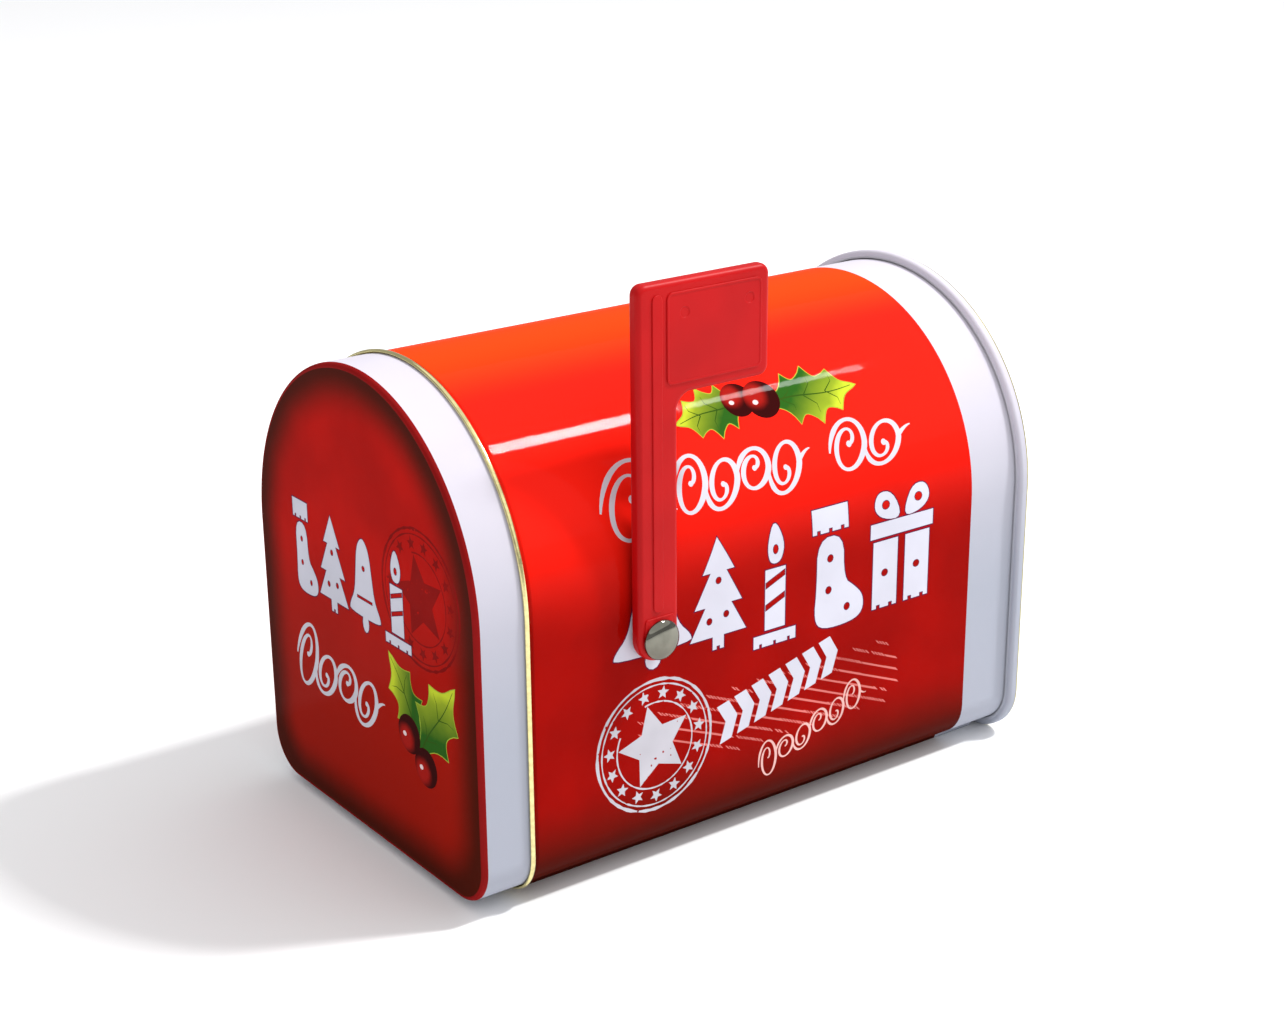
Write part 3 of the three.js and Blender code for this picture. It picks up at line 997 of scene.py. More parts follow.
def rounded(corners: Sequence[Point2], rounds: int = 2) -> list[Point2]:
    """Rounds a closed shape by cutting off its corners.

    Args:
        corners: The shape's corners.
        rounds: How often to cut them.

    Returns:
        The corners of the rounder shape.
    """
    points = list(corners)
    for _ in range(rounds):
        cut = []
        for (ax, ay), (bx, by) in zip(points, points[1:] + points[:1]):
            cut.append((0.75 * ax + 0.25 * bx, 0.75 * ay + 0.25 * by))
            cut.append((0.25 * ax + 0.75 * bx, 0.25 * ay + 0.75 * by))
        points = cut
    return points


def grown(corners: Sequence[Point2], by: float) -> list[Point2]:
    """Makes a closed shape larger by a margin all round.

    Args:
        corners: The shape's corners.
        by: The margin; below nought, the shape gets smaller.

    Returns:
        The corners of the larger shape.
    """
    bluntest = 0.6
    points = np.array(corners, float)
    following = np.roll(points, -1, axis=0)
    area = float(np.sum(points[:, 0] * following[:, 1] - following[:, 0] * points[:, 1]))
    edges = following - points
    edges /= np.maximum(np.linalg.norm(edges, axis=1, keepdims=True), TINY)
    outward = np.stack([edges[:, 1], -edges[:, 0]], -1) * math.copysign(1.0, area)
    mitre = outward + np.roll(outward, 1, axis=0)
    mitre /= np.maximum((mitre**2).sum(1, keepdims=True) / 2, bluntest)
    return [tuple(p) for p in points + mitre * by]


@dataclass
class Drawing:
    """Shapes of ink on a flat map, painted in order, so that a later one covers an earlier one."""

    shapes: list[tuple[Array, Wear, Array | None]] = field(default_factory=list)

    def paint(self, corners: Sequence[Point2], ink: Wear, local: tuple[Point2, Point2] | None = None) -> None:
        """Paints one closed shape.

        Args:
            corners: The shape's corners.
            ink: The ink that fills it.
            local: A start and a direction whose length counts as one, for inks that shade along it.
        """
        self.shapes.append((np.array(corners, float), ink, None if local is None else np.array(local)))

    def stroke(self, line: Array, widths: float | Array, ink: Wear) -> None:
        """Paints a line.

        Args:
            line: Its points.
            widths: Its width, or one for each point.
            ink: Its ink.
        """
        line = np.asarray(line, float)
        along = np.gradient(line, axis=0)
        along /= np.maximum(np.linalg.norm(along, axis=1, keepdims=True), TINY)
        half = np.broadcast_to(np.asarray(widths, float) / 2, len(line))[:, None]
        side = np.stack([-along[:, 1], along[:, 0]], -1) * half
        left, right = line + side, line - side
        for i in range(len(line) - 1):
            self.paint([left[i], right[i], right[i + 1], left[i + 1]], ink)

    def turned(self, length: float, centre: float) -> "Drawing":
        """The same shapes turned half round, for the far side of the tin.

        Args:
            length: Twice the middle of the print along the tin.
            centre: Twice the middle of the sheet round its outline.

        Returns:
            A new drawing.
        """
        made = Drawing()
        middle = np.array([length, centre])
        for corners, ink, local in self.shapes:
            moved = None if local is None else np.array([middle - local[0], -local[1]])
            made.shapes.append((middle - corners, ink, moved))
        return made

    def across(self) -> "Drawing":
        """The same shapes with the map's two directions changed over."""
        return Drawing([(c[:, ::-1], ink, None if g is None else g[:, ::-1]) for c, ink, g in self.shapes])


@dataclass(frozen=True)
class Scroll:
    """A running scroll of the pen: a leaning wave with a curl inside each of its bends.

    Each bend has a height. Below nought, its curl opens downwards.
    """

    start: Point2
    end: Point2
    heights: tuple[float, ...]
    width: float
    lean: float = 0.28
    curl: float = 2.35 * math.pi
    tighten: float = 0.78
    sink: float = 0.34
    steps: int = 70
    pen_down: int = 6
    blob: float = 0.11
    tail: float = 0.7
    tail_rise: float = 0.3
    tail_steps: int = 10

    def paint(self, drawing: Drawing, ink: Wear) -> None:
        """Paints it, its bends from left to right and then its tail.

        Args:
            drawing: What to paint on.
            ink: Its ink.
        """
        start, line = np.array(self.start), np.array(self.end) - np.array(self.start)
        along = line / (2 * len(self.heights))
        unit = line / np.hypot(*line)
        up = np.array([-unit[1], unit[0]]) + self.lean * unit
        turns = np.linspace(math.pi, -self.curl, self.steps)
        inner = np.clip(-turns / self.curl, 0, 1)
        radius = 1 - self.tighten * inner**0.8
        press = self.width * (0.7 + 0.6 * np.abs(np.cos(turns)) ** 1.5) * (1 - 0.4 * inner)
        press[: self.pen_down] *= np.linspace(0.3, 1.0, self.pen_down)
        end_dot = self.width * min(0.75, self.blob * float(np.hypot(*along)))
        for k, height in enumerate(self.heights):
            middle = start + along * (2 * k + 1)
            rise = height * (np.sin(turns) * radius + self.sink * inner)
            path = middle + np.outer(radius * np.cos(turns), along) + np.outer(rise, up)
            drawing.stroke(path, press, ink)
            drawing.paint(circle(tuple(path[-1]), end_dot, 14), ink)
        share = np.linspace(0, 1, self.tail_steps)
        tail = start + line + np.outer(self.tail * share, along)
        tail += np.outer(np.sin(share * QUARTER) * self.tail_rise * -self.heights[-1], up)
        drawing.stroke(tail, self.width * (1 - 0.8 * share), ink)


@dataclass(frozen=True)
class Pictogram:
    """One bold printed shape, drawn in a unit square: its parts, and what is left bare in them."""

    parts: tuple[tuple[Point2, ...], ...]
    bare: tuple[tuple[Point2, ...], ...] = ()

    def paint(self, drawing: Drawing, low: Point2, high: Point2, ground: Wear, edge: float = 0.28) -> None:
        """Paints it with a thin dark edge.

        Args:
            drawing: What to paint on.
            low: The lower left corner of the box that it fills.
            high: The box's upper right corner.
            ground: What shows through its holes.
            edge: The dark edge's width.
        """
        size = (high[0] - low[0], high[1] - low[1])

        def fit(corners: Sequence[Point2]) -> list[Point2]:
            """A part's corners in the box."""
            return [(low[0] + x * size[0], low[1] + y * size[1]) for x, y in corners]

        for corners in self.parts:
            drawing.paint(grown(fit(corners), edge), Wear.OUTLINE)
        for corners in self.parts:
            drawing.paint(fit(corners), Wear.BOLD_WHITE)
        for corners in self.bare:
            drawing.paint(grown(fit(corners), -edge / 3), Wear.OUTLINE)
            drawing.paint(grown(fit(corners), -edge), ground)


def dot(x: float, y: float, radius: float = 0.06) -> tuple[Point2, ...]:
    """A small hole of a pictogram, flat in the square so that it is round in the print."""
    flat, turns = 0.62, np.arange(0, 6.2, 0.52)
    return tuple((x + radius * math.cos(a), y + flat * radius * math.sin(a)) for a in turns)


def block(left: float, low: float, right: float, high: float, notches: int = 0) -> tuple[Point2, ...]:
    """Draws a rectangle of a pictogram.

    Args:
        left, low, right, high: Its edges.
        notches: How many notches are cut into its lower edge.

    Returns:
        Its corners.
    """
    lower, notch = [(left, low)], 0.03
    for i in range(notches):
        middle = left + (right - left) * (i + 0.5) / notches
        first, last = middle - notch, middle + notch
        lower += [(first, low), (first, low + notch), (last, low + notch), (last, low)]
    return (*lower, (right, low), (right, high), (left, high))


def soft(*corners: Point2) -> tuple[Point2, ...]:
    """A part of a pictogram with its corners cut round."""
    return tuple(rounded(corners))


class Motif(Enum):
    """The winter shapes that the print is made of."""

    TREE = Pictogram(
        (
            ((0.5, 1), (0.22, 0.7), (0.36, 0.7), (0.08, 0.4), (0.27, 0.4), (0, 0.12), (0.4, 0.12))
            + ((0.4, 0), (0.47, 0), (0.47, 0.03), (0.53, 0.03), (0.53, 0), (0.6, 0), (0.6, 0.12))
            + ((1, 0.12), (0.73, 0.4), (0.92, 0.4), (0.64, 0.7), (0.78, 0.7)),
        ),
        (dot(0.5, 0.62), dot(0.34, 0.27), dot(0.64, 0.3)),
    )
    BELL = Pictogram(
        (
            soft(
                *((0.44, 0.98), (0.3, 0.86), (0.24, 0.6), (0.18, 0.36), (0, 0.2), (0, 0.12)),
                *((1, 0.12), (1, 0.2), (0.82, 0.36), (0.76, 0.6), (0.7, 0.86), (0.56, 0.98)),
            ),
            tuple(circle((0.5, 0.06), 0.1, 12)),
        ),
        (dot(0.5, 0.66), block(0.24, 0.3, 0.76, 0.345)),
    )
    STOCKING = Pictogram(
        (
            block(0.12, 0.8, 0.72, 1.0, 3),
            soft(
                *((0.2, 0.76), (0.2, 0.36), (0.16, 0.1), (0.3, 0.0), (0.8, 0.0), (1.0, 0.06)),
                *((1.0, 0.2), (0.84, 0.3), (0.66, 0.38), (0.64, 0.76)),
            ),
        ),
        (dot(0.42, 0.58), dot(0.4, 0.32), dot(0.72, 0.14)),
    )
    CANDLE = Pictogram(
        (
            block(0.28, 0.13, 0.72, 0.62),
            block(0.04, 0.0, 0.96, 0.1, 3),
            soft((0.5, 1.02), (0.7, 0.82), (0.64, 0.68), (0.5, 0.65), (0.36, 0.68), (0.32, 0.82)),
        ),
        (
            ((0.28, 0.46), (0.28, 0.52), (0.72, 0.6), (0.72, 0.54)),
            ((0.28, 0.28), (0.28, 0.34), (0.72, 0.42), (0.72, 0.36)),
            dot(0.5, 0.77, 0.07),
        ),
    )
    GIFT = Pictogram(
        (
            block(0.05, 0.0, 0.44, 0.58, 2),
            block(0.56, 0.0, 0.95, 0.58, 2),
            block(0.0, 0.61, 1.0, 0.74),
            soft((0.5, 0.74), (0.36, 0.98), (0.12, 1.0), (0.04, 0.86), (0.2, 0.76)),
            soft((0.5, 0.74), (0.64, 0.98), (0.88, 1.0), (0.96, 0.86), (0.8, 0.76)),
        ),
        (dot(0.24, 0.3), dot(0.75, 0.3), dot(0.24, 0.88, 0.07), dot(0.76, 0.88, 0.07)),
    )


@dataclass(frozen=True)
class Holly:
    """Printed holly leaves and berries."""

    lobes: int = 4
    edge: float = 0.22
    hollow: float = 0.36
    foot: float = 0.1
    spread: float = 1.12
    sweep: float = 0.055
    thinnest: float = 0.04
    vein_back: float = 0.45
    vein_reach: float = 0.36
    light_left: float = 0.42
    light_low: float = 0.1
    light_size: float = 0.13
    light_stretch: float = 1.25

    def spine(self, number: int) -> float:
        """Finds how far a spine stands out.

        Args:
            number: Which spine, counted from the stalk.

        Returns:
            Its reach, as a share of half the leaf's width.
        """
        share = number / self.lobes
        if number == 0:
            return self.foot
        return self.spread * math.sin(math.pi * share**0.85) ** 0.75 if share < 1 else 0.0

    def leaf(self, drawing: Drawing, base: Point2, tip: Point2, width: float) -> None:
        """Paints one spiny leaf.

        Args:
            drawing: What to paint on.
            base: Where its stalk is.
            tip: Its tip.
            width: Its width over the spines.
        """
        start, end = np.array(base), np.array(tip)
        along = end - start
        length = float(np.hypot(*along))
        side = np.array([-along[1], along[0]]) / length

        def at(share: float, out: float) -> Array:
            """A place on the leaf by its share of the length and its reach to the side."""
            return start + along * share + side * out

        def spiny(sign: int) -> list[Array]:
            """Draws one edge of the leaf, hollow between its spines.

            Args:
                sign: +1 for its left edge and -1 for its right.

            Returns:
                The edge's corners.
            """
            edge = []
            for k in range(self.lobes):
                first, last = k / self.lobes, (k + 1) / self.lobes
                for t in np.linspace(0, 1, 7, endpoint=False):
                    share = first + (last - first) * t
                    reach = (1 - t) * self.spine(k) + t * self.spine(k + 1)
                    hollow = self.hollow * math.sin(math.pi * t) ** 0.8
                    back = t * self.sweep * math.sin(math.pi * min(1.0, t * 1.05)) if k else 0.0
                    out = max(self.thinnest, reach * (1 - hollow))
                    edge.append(at(share - back, sign * width / 2 * out))
            return edge

        outline = spiny(1) + [end] + spiny(-1)[::-1]
        drawing.paint(grown(outline, self.edge), Wear.LEAF_EDGE)
        drawing.paint(outline, Wear.LEAF, (base, tuple(along)))
        shares = np.linspace(0, 0.94, 12)
        midrib = np.array([at(share, 0.03 * width * math.sin(7 * share)) for share in shares])
        drawing.stroke(midrib, np.linspace(0.5, 0.16, len(midrib)), Wear.LEAF_VEIN)
        for k in range(1, self.lobes):
            root = (k - self.vein_back) / self.lobes
            for sign in (-1, 1):
                reach = sign * width * self.vein_reach * math.sin(math.pi * k / self.lobes * 0.92)
                vein = np.array([at(root, 0), at(root + 0.11, reach * 0.55), at(k / self.lobes, reach)])
                drawing.stroke(vein, np.array([0.28, 0.2, 0.08]), Wear.LEAF_VEIN)

    def berry(self, drawing: Drawing, centre: Point2, radius: float) -> None:
        """Paints one berry with its small light.

        Args:
            drawing: What to paint on.
            centre: Its middle.
            radius: Its radius.
        """
        drawing.paint(circle(centre, radius, 28), Wear.BERRY, (centre, (radius, 0.0)))
        light = (centre[0] - self.light_left * radius, centre[1] - self.light_low * radius)
        spot, stretch = circle(light, radius * self.light_size, 12), self.light_stretch
        spot = [(x * stretch - (stretch - 1) * light[0], y) for x, y in spot]
        drawing.paint(spot, Wear.BERRY_SPOT)


@dataclass(frozen=True)
class PostalStamp:
    """A round rubber stamp of stars, with patches where the ink didn't take."""

    centre: Point2
    seed: int
    radius: float = 16.6
    rims: tuple[Point2, ...] = ((16.6, 0.75), (15.3, 0.42), (10.956, 0.4))
    rim_gap: Point2 = (1.9, 2.7)
    stars: int = 15
    star_reach: float = 13.114
    star_radius: float = 1.75
    star_waist: float = 0.45
    star_start: float = 0.3
    middle_radius: float = 10.624
    middle_waist: float = 0.49
    middle_tilt: float = QUARTER + 0.2
    worn: int = 46
    worn_size: Point2 = (0.12, 0.42)

    def at(self, reach: float, angle: float) -> Point2:
        """A place by its way from the middle and its direction."""
        return self.centre[0] + reach * math.cos(angle), self.centre[1] + reach * math.sin(angle)

    def paint(self, drawing: Drawing, ink: Wear, ground: Wear) -> None:
        """Paints it. Only the smallest rim has a gap.

        Args:
            drawing: What to paint on.
            ink: The stamp's ink.
            ground: What shows where the ink is missing.
        """
        draw = random.Random(self.seed)
        *whole, broken = self.rims
        every = np.linspace(0, 2 * math.pi, 73)
        for radius, width in whole:
            self.rim(drawing, radius, width, ink, draw, every)
        self.rim(drawing, *broken, ink, draw, every[every < self.rim_gap[0]])
        self.rim(drawing, *broken, ink, draw, every[every > self.rim_gap[1]])
        for i in range(self.stars):
            angle = 2 * math.pi * (i + self.star_start) / self.stars
            middle = self.at(self.star_reach, angle)
            drawing.paint(pointed_star(middle, self.star_radius, self.star_waist, angle), ink)
        star = pointed_star(self.centre, self.middle_radius, self.middle_waist, self.middle_tilt)
        drawing.paint(star, ink)
        for _ in range(self.worn):
            angle, reach = draw.uniform(0, 2 * math.pi), self.radius * math.sqrt(draw.uniform(0, 1))
            x, y = self.at(reach, angle)
            size = draw.uniform(*self.worn_size)
            ragged = []
            for a in np.arange(0, 6.2, 0.9):
                across, up = size * draw.uniform(0.5, 1.5), size * draw.uniform(0.5, 1.5)
                ragged.append((x + across * math.cos(a), y + up * math.sin(a)))
            drawing.paint(ragged, ground)

    def rim(
        self, drawing: Drawing, radius: float, width: float, ink: Wear, draw: random.Random, turns: Array
    ) -> None:
        """Paints a rim, or a part of one, with an uneven width.

        Args:
            drawing: What to paint on.
            radius: The rim's radius.
            width: Its usual width.
            ink: The stamp's ink.
            draw: Gives the unevenness.
            turns: The directions of its points.
        """
        line = np.array([self.at(radius, a) for a in turns])
        drawing.stroke(line, np.array([width * draw.uniform(0.55, 1.25) for _ in turns]), ink)


# --- sheets divided by their print


class FlatSheet:
    """A stretch of surface laid out flat, divided so that every printed edge is a real edge."""

    def __init__(self, outline: Sequence[Point2], holes: Sequence[Sequence[Point2]] = ()) -> None:
        """Starts with the sheet's outline and holes.

        Args:
            outline: The corners of the sheet on the flat map.
            holes: The corners of each hole in it.
        """
        self.outline = np.array(outline, float)
        self.holes = [np.array(h, float) for h in holes]
        self.points: list[Vector] = []
        self.edges: list[tuple[int, int]] = []
        for loop in (self.outline, *self.holes):
            self.closed(loop)

    def closed(self, loop: Array) -> None:
        """Adds a closed line to divide along.

        Args:
            loop: Its corners.
        """
        first = len(self.points)
        self.points += [Vector(p) for p in loop]
        self.edges += [(first + i, first + (i + 1) % len(loop)) for i in range(len(loop))]

    def line(self, start: Point2, end: Point2) -> None:
        """Adds a straight line to divide along."""
        self.points += [Vector(start), Vector(end)]
        self.edges.append((len(self.points) - 2, len(self.points) - 1))

    @staticmethod
    def within(loop: Array, points: Array) -> Array:
        """Finds which points lie inside a closed loop.

        Args:
            loop: The loop's corners.
            points: The points.

        Returns:
            A yes or a no for each point.
        """
        inside = np.zeros(len(points), bool)
        x, y = points[:, 0], points[:, 1]
        for (ax, ay), (bx, by) in zip(loop, np.roll(loop, -1, axis=0)):
            if ay != by:
                inside ^= ((ay > y) != (by > y)) & (x < (bx - ax) * (y - ay) / (by - ay) + ax)
        return inside

    def divide(
        self, drawing: Drawing, ground: Callable[[Array], list[Wear]]
    ) -> tuple[Array, list, list, list]:
        """Divides the sheet and says what each face wears.

        Args:
            drawing: The print on it.
            ground: Gives the finish under the print at the middle of each face.

        Returns:
            Flat corners, faces, the finish of each face, and the print's map for each face.
        """
        for corners, _, _ in drawing.shapes:
            self.closed(corners)
        found = delaunay_2d_cdt(self.points, self.edges, [], 0, 1e-5, False)
        flat = np.array([tuple(p) for p in found[0]])
        faces = np.array([tuple(f) for f in found[2]])
        middles = flat[faces].mean(1)
        kept = self.within(self.outline, middles)
        for hole in self.holes:
            kept &= ~self.within(hole, middles)
        faces, middles = faces[kept], middles[kept]
        wears = ground(middles)
        maps = flat[faces] / 100
        for corners, ink, local in drawing.shapes:
            low, high = corners.min(0), corners.max(0)
            near = np.nonzero(((middles >= low) & (middles <= high)).all(1))[0]
            for i in near[self.within(corners, middles[near])]:
                wears[i] = ink
                if local is not None:
                    away = flat[faces[i]] - local[0]
                    along, size = local[1], float(np.dot(local[1], local[1]))
                    across = np.array([-along[1], along[0]])
                    maps[i] = np.stack([away @ along / size, away @ across / size], -1)
        return flat, faces.tolist(), wears, maps.tolist()


# --- the print


@dataclass(frozen=True)
class CancelBars:
    """Faint falling bars that break into dashes at their ends, such as a franking roller leaves."""

    seed: int
    bars: int = 12
    first: float = 33.5
    pitch: float = 7.7
    height: float = 36.6
    fall: float = 0.41
    lean: float = 0.9
    run: float = 41.5
    left: float = 44.0
    right: float = 122.6
    solid_from: float = 0.24
    solid_to: float = 0.7
    solid_length: float = 4.0
    solid_width: float = 0.85
    dash_length: float = 0.62
    dash_width: float = 1.1
    dash_pitch: float = 1.05
    missed: float = 0.12

    def paint(self, drawing: Drawing, ink: Wear) -> None:
        """Paints them, bar after bar.

        Args:
            drawing: What to paint on.
            ink: Their ink.
        """
        draw = random.Random(self.seed)
        for bar in range(self.bars):
            begin = self.first + self.pitch * bar
            left = max(begin, self.left)
            last = min(begin + self.run, self.right) - draw.uniform(0.0, 1.5)
            while left < last:
                solid = self.solid_from < (left - begin) / self.run < self.solid_to
                long = self.solid_length if solid else self.dash_length + draw.uniform(-0.12, 0.16)
                thick = (self.solid_width if solid else self.dash_width) + draw.uniform(-0.06, 0.06)
                low = self.height - self.fall * (left - begin)
                end, shift = low - self.fall * long, self.lean * thick
                top = [(left + long - shift, end + thick), (left - shift, low + thick)]
                if solid or draw.random() > self.missed:
                    drawing.paint([(left, low), (left + long, end), *top], ink)
                left += self.solid_length if solid else self.dash_pitch


@dataclass(frozen=True)
class Arrowheads:
    """A row of bold arrowheads that climbs to the right."""

    start: Point2 = (67.6, 23.4)
    end: Point2 = (104.6, 33.2)
    rise: Point2 = (-0.9, 10.0)
    count: int = 7
    thickness: float = 0.68
    point: float = 0.42

    def paint(self, drawing: Drawing, ink: Wear) -> None:
        """Paints them from left to right.

        Args:
            drawing: What to paint on.
            ink: Their ink.
        """
        start, up = np.array(self.start), np.array(self.rise)
        pitch = (np.array(self.end) - start) / self.count
        bar = pitch * self.thickness
        for k in range(self.count):
            foot = start + pitch * k
            nose = foot + up / 2 + pitch * self.point
            drawing.paint([foot, foot + bar, nose + bar, foot + up + bar, foot + up, nose], ink)


@dataclass(frozen=True)
class SidePrint:
    """The print on one side: along the tin from the lid's face, and up round the outline."""

    seed: int = 11

    def draw(self) -> Drawing:
        """All of it, in the order it was printed."""
        drawing = Drawing()
        CancelBars(self.seed + 1).paint(drawing, Wear.CANCEL)
        PostalStamp((48.2, 29.0), self.seed).paint(drawing, Wear.STAMP, Wear.BODY_RED)
        Arrowheads().paint(drawing, Wear.BOLD_WHITE)
        thin = Scroll((79.8, 13.6), (112.5, 25.2), (5.2, 3.0, -3.4, 3.2, -3.6, 4.4), 0.6)
        thin.paint(drawing, Wear.THIN_SCRIPT)
        row = (
            (Motif.BELL, (36.6, 49.5), (59.0, 74.5)),
            (Motif.TREE, (58.6, 48.6), (75.4, 76.6)),
            (Motif.CANDLE, (77.2, 45.4), (91.4, 77.0)),
            (Motif.STOCKING, (93.6, 45.0), (112.6, 76.6)),
            (Motif.GIFT, (114.6, 46.2), (135.4, 76.8)),
        )
        for motif, low, high in row:
            motif.value.paint(drawing, low, high, Wear.BODY_RED)
        self.holly(drawing)
        Scroll((36.5, 88.5), (52.5, 88.5), (10.5,), 1.35).paint(drawing, Wear.SCRIPT)
        Scroll((57.0, 89.0), (95.0, 89.5), (7.6, -6.4, 5.4, -6.8), 1.3).paint(drawing, Wear.SCRIPT)
        Scroll((104.5, 89.0), (127.0, 89.5), (7.0, -5.8), 1.3).paint(drawing, Wear.SCRIPT)
        return drawing

    @staticmethod
    def holly(drawing: Drawing) -> None:
        """Paints the sprig over the script.

        Args:
            drawing: What to paint on.
        """
        holly = Holly()
        holly.leaf(drawing, (85.4, 106.9), (64.2, 104.4), 12.5)
        holly.leaf(drawing, (92.4, 104.6), (119.4, 104.2), 14.0)
        holly.berry(drawing, (83.9, 107.2), 4.6)
        holly.berry(drawing, (90.7, 106.0), 5.1)


@dataclass(frozen=True)
class LidPrint:
    """The print on the lid's face: across from the middle, and up from the underside."""

    seed: int = 5

    def draw(self) -> Drawing:
        """All of it, in the order it was printed."""
        drawing = Drawing()
        PostalStamp((27.0, 70.2), self.seed, worn=60).paint(drawing, Wear.POSTMARK, Wear.LID_RED)
        row = (
            (Motif.STOCKING, (-33.6, 54.6), (-21.4, 78.4)),
            (Motif.TREE, (-20.4, 54.0), (-6.6, 78.6)),
            (Motif.BELL, (-5.6, 54.6), (8.6, 77.6)),
            (Motif.CANDLE, (10.2, 54.8), (22.6, 79.4)),
        )
        for motif, low, high in row:
            motif.value.paint(drawing, low, high, Wear.LID_RED)
        holly = Holly(lobes=3)
        holly.leaf(drawing, (24.5, 35.0), (11.6, 52.4), 13.0)
        holly.leaf(drawing, (24.5, 31.5), (40.4, 53.0), 15.5)
        holly.berry(drawing, (19.4, 34.2), 4.9)
        holly.berry(drawing, (26.4, 28.2), 4.9)
        Scroll((-34.5, 36.5), (4.5, 35.5), (10.0, -6.4, 5.6, -7.2), 1.3).paint(drawing, Wear.SCRIPT)
        return drawing


# --- the tin's pieces


@dataclass(frozen=True)
class BodyWrap:
    """The printed sheet bent round the tin, with its neck, flange, beads, coin slot and rivet hole."""

    place: TinPlace
    outline: TinOutline
    sheet: float = 0.3
    neck_front: float = 1.6
    neck_curl: float = 0.6
    neck_inset: float = 0.6
    shoulder_start: float = 14.0
    shoulder_end: float = 15.1
    red_end: float = 148.85
    flange_back: float = 165.5
    flange_reach: float = 1.6
    flange_bend: float = 0.6
    bead_drop: float = 2.4
    bead_half: float = 2.0
    bead_edge: float = 1.1
    bead_steps: tuple[float, ...] = (0.0, 0.5, 0.9, 1.05, 1.2, 1.4, 1.6, 1.8, 2.0, 2.2)
    bead_front: float = 17.4
    bead_back: float = 161.7
    lock_half: float = 2.5
    lock_edge: float = 0.4
    lock_rise: float = 0.6
    lock_fade: float = 1.2
    lock_margin: float = 0.4
    groove_half: float = 0.4
    groove_edge: float = 0.25
    groove_depth: float = 0.16
    print_middle: float = 85.475
    slot_y: float = 98.0
    slot_half_length: float = 17.3
    slot_half_width: float = 2.5
    slot_bend: float = 0.5
    slot_lip: float = 1.3
    slot_steps: int = 6
    rivet_hole: float = 2.2
    roll_turn: float = 2.9 * QUARTER

    @property
    def beads(self) -> Point2:
        """Lengths round the outline to the middle of each bead."""
        return self.outline.near_floor, self.outline.far_floor

    @property
    def bead_lines(self) -> list[float]:
        """Lengths round the outline where the beads' sections are divided."""
        return [middle + sign * step for middle in self.beads for sign in (-1, 1) for step in self.bead_steps]

    @property
    def flange_front(self) -> float:
        """Where the bend towards the flange begins."""
        return self.flange_back - self.sheet - self.flange_bend

    @property
    def lock_ends(self) -> Point2:
        """Where the lock seam's fold begins and ends along the tin."""
        return self.shoulder_end + self.lock_margin, self.flange_front - self.lock_margin

    @property
    def lock_lines(self) -> list[float]:
        """Lengths round the outline where the lock seam's fold is divided."""
        first, last = self.outline.ends
        groove, fold = self.groove_half, self.lock_half
        steps = (groove - self.groove_edge, groove, fold - self.lock_edge, fold)
        return [first + step for step in steps] + [last - step for step in steps]

    def drop(self, s: Array, y: Array, depth: float) -> Array:
        """Finds how far the beads and the lock seam move the sheet down.

        Args:
            s: Lengths round the outline.
            y: Distances from the lid's face.
            depth: How far below the outside.

        Returns:
            The way down at each place.
        """
        total = np.zeros(len(s))
        for middle in self.beads:
            past = np.maximum(np.maximum(self.bead_front - y, y - self.bead_back), 0)
            share = np.clip((self.bead_half - np.hypot(s - middle, past)) / self.bead_edge, 0, 1)
            total += self.bead_drop * eased(share)
        first, last = self.outline.ends
        away = np.minimum(np.abs(s - first), np.abs(s - last))
        front, back = self.lock_ends
        kept = np.clip(np.minimum(y - front, back - y) / self.lock_fade, 0, 1)
        if depth > 0:
            return total - self.lock_rise * kept * np.clip((self.lock_half - away) / self.lock_edge, 0, 1)
        return total - self.groove_depth * kept * np.clip((self.groove_half - away) / self.groove_edge, 0, 1)

    def skin(self, flat: Array, depth: float) -> tuple[Array, Array, Array]:
        """Lays flat places on the sheet.

        Args:
            flat: Lengths round the outline and distances from the lid's face.
            depth: How far below the outside.

        Returns:
            The points, and the directions round the outline and along the tin there.
        """

        def at(s: Array, y: Array) -> Array:
            """Lays places on the sheet.

            Args:
                s: Their lengths round the outline.
                y: Their distances from the lid's face.

            Returns:
                The points.
            """
            points, out = self.outline.at(s)
            low = points[:, 1] - depth * out[:, 1] - self.drop(s, y, depth)
            return np.stack([points[:, 0] - depth * out[:, 0], y, low], -1)

        s, y, step = flat[:, 0], flat[:, 1], 0.02
        ways = []
        for ds, dy in ((step, 0.0), (0.0, step)):
            way = at(s + ds, y + dy) - at(s - ds, y - dy)
            ways.append(way / np.linalg.norm(way, axis=1, keepdims=True))
        return at(s, y), ways[0], ways[1]

    def middle(
        self, piece: Piece, stations: Array, depth: float, drawing: Drawing, rims: list["RimRound"]
    ) -> None:
        """Adds the sheet's outside or inside between the shoulder and the flange.

        Args:
            piece: What gets it.
            stations: The lengths where the sheet is divided.
            depth: How far below the outside.
            drawing: The print on it.
            rims: The sweeps round its holes.
        """
        front, back = self.shoulder_end, self.flange_front
        edge = [(s, front) for s in stations] + [(s, back) for s in stations[::-1]]
        holes = [rim.flat(rim.offset) for rim in rims]
        sheet = FlatSheet(edge, holes)
        for s in stations[1:-1]:
            sheet.line((s, front), (s, back))
        if depth == 0:
            sheet.line((stations[0], self.red_end), (stations[-1], self.red_end))
        half = self.bead_steps[-1]
        for middle in self.beads:
            for end, way in ((self.bead_front, -1), (self.bead_back, 1)):
                for step in self.bead_steps:
                    y = end + way * step
                    sheet.line((middle - half, y), (middle + half, y))
        for end, way in zip(self.lock_ends, (1, -1)):
            for y in (end, end + way * self.lock_fade):
                sheet.line((stations[0], y), (stations[0] + self.lock_half, y))
                sheet.line((stations[-1] - self.lock_half, y), (stations[-1], y))

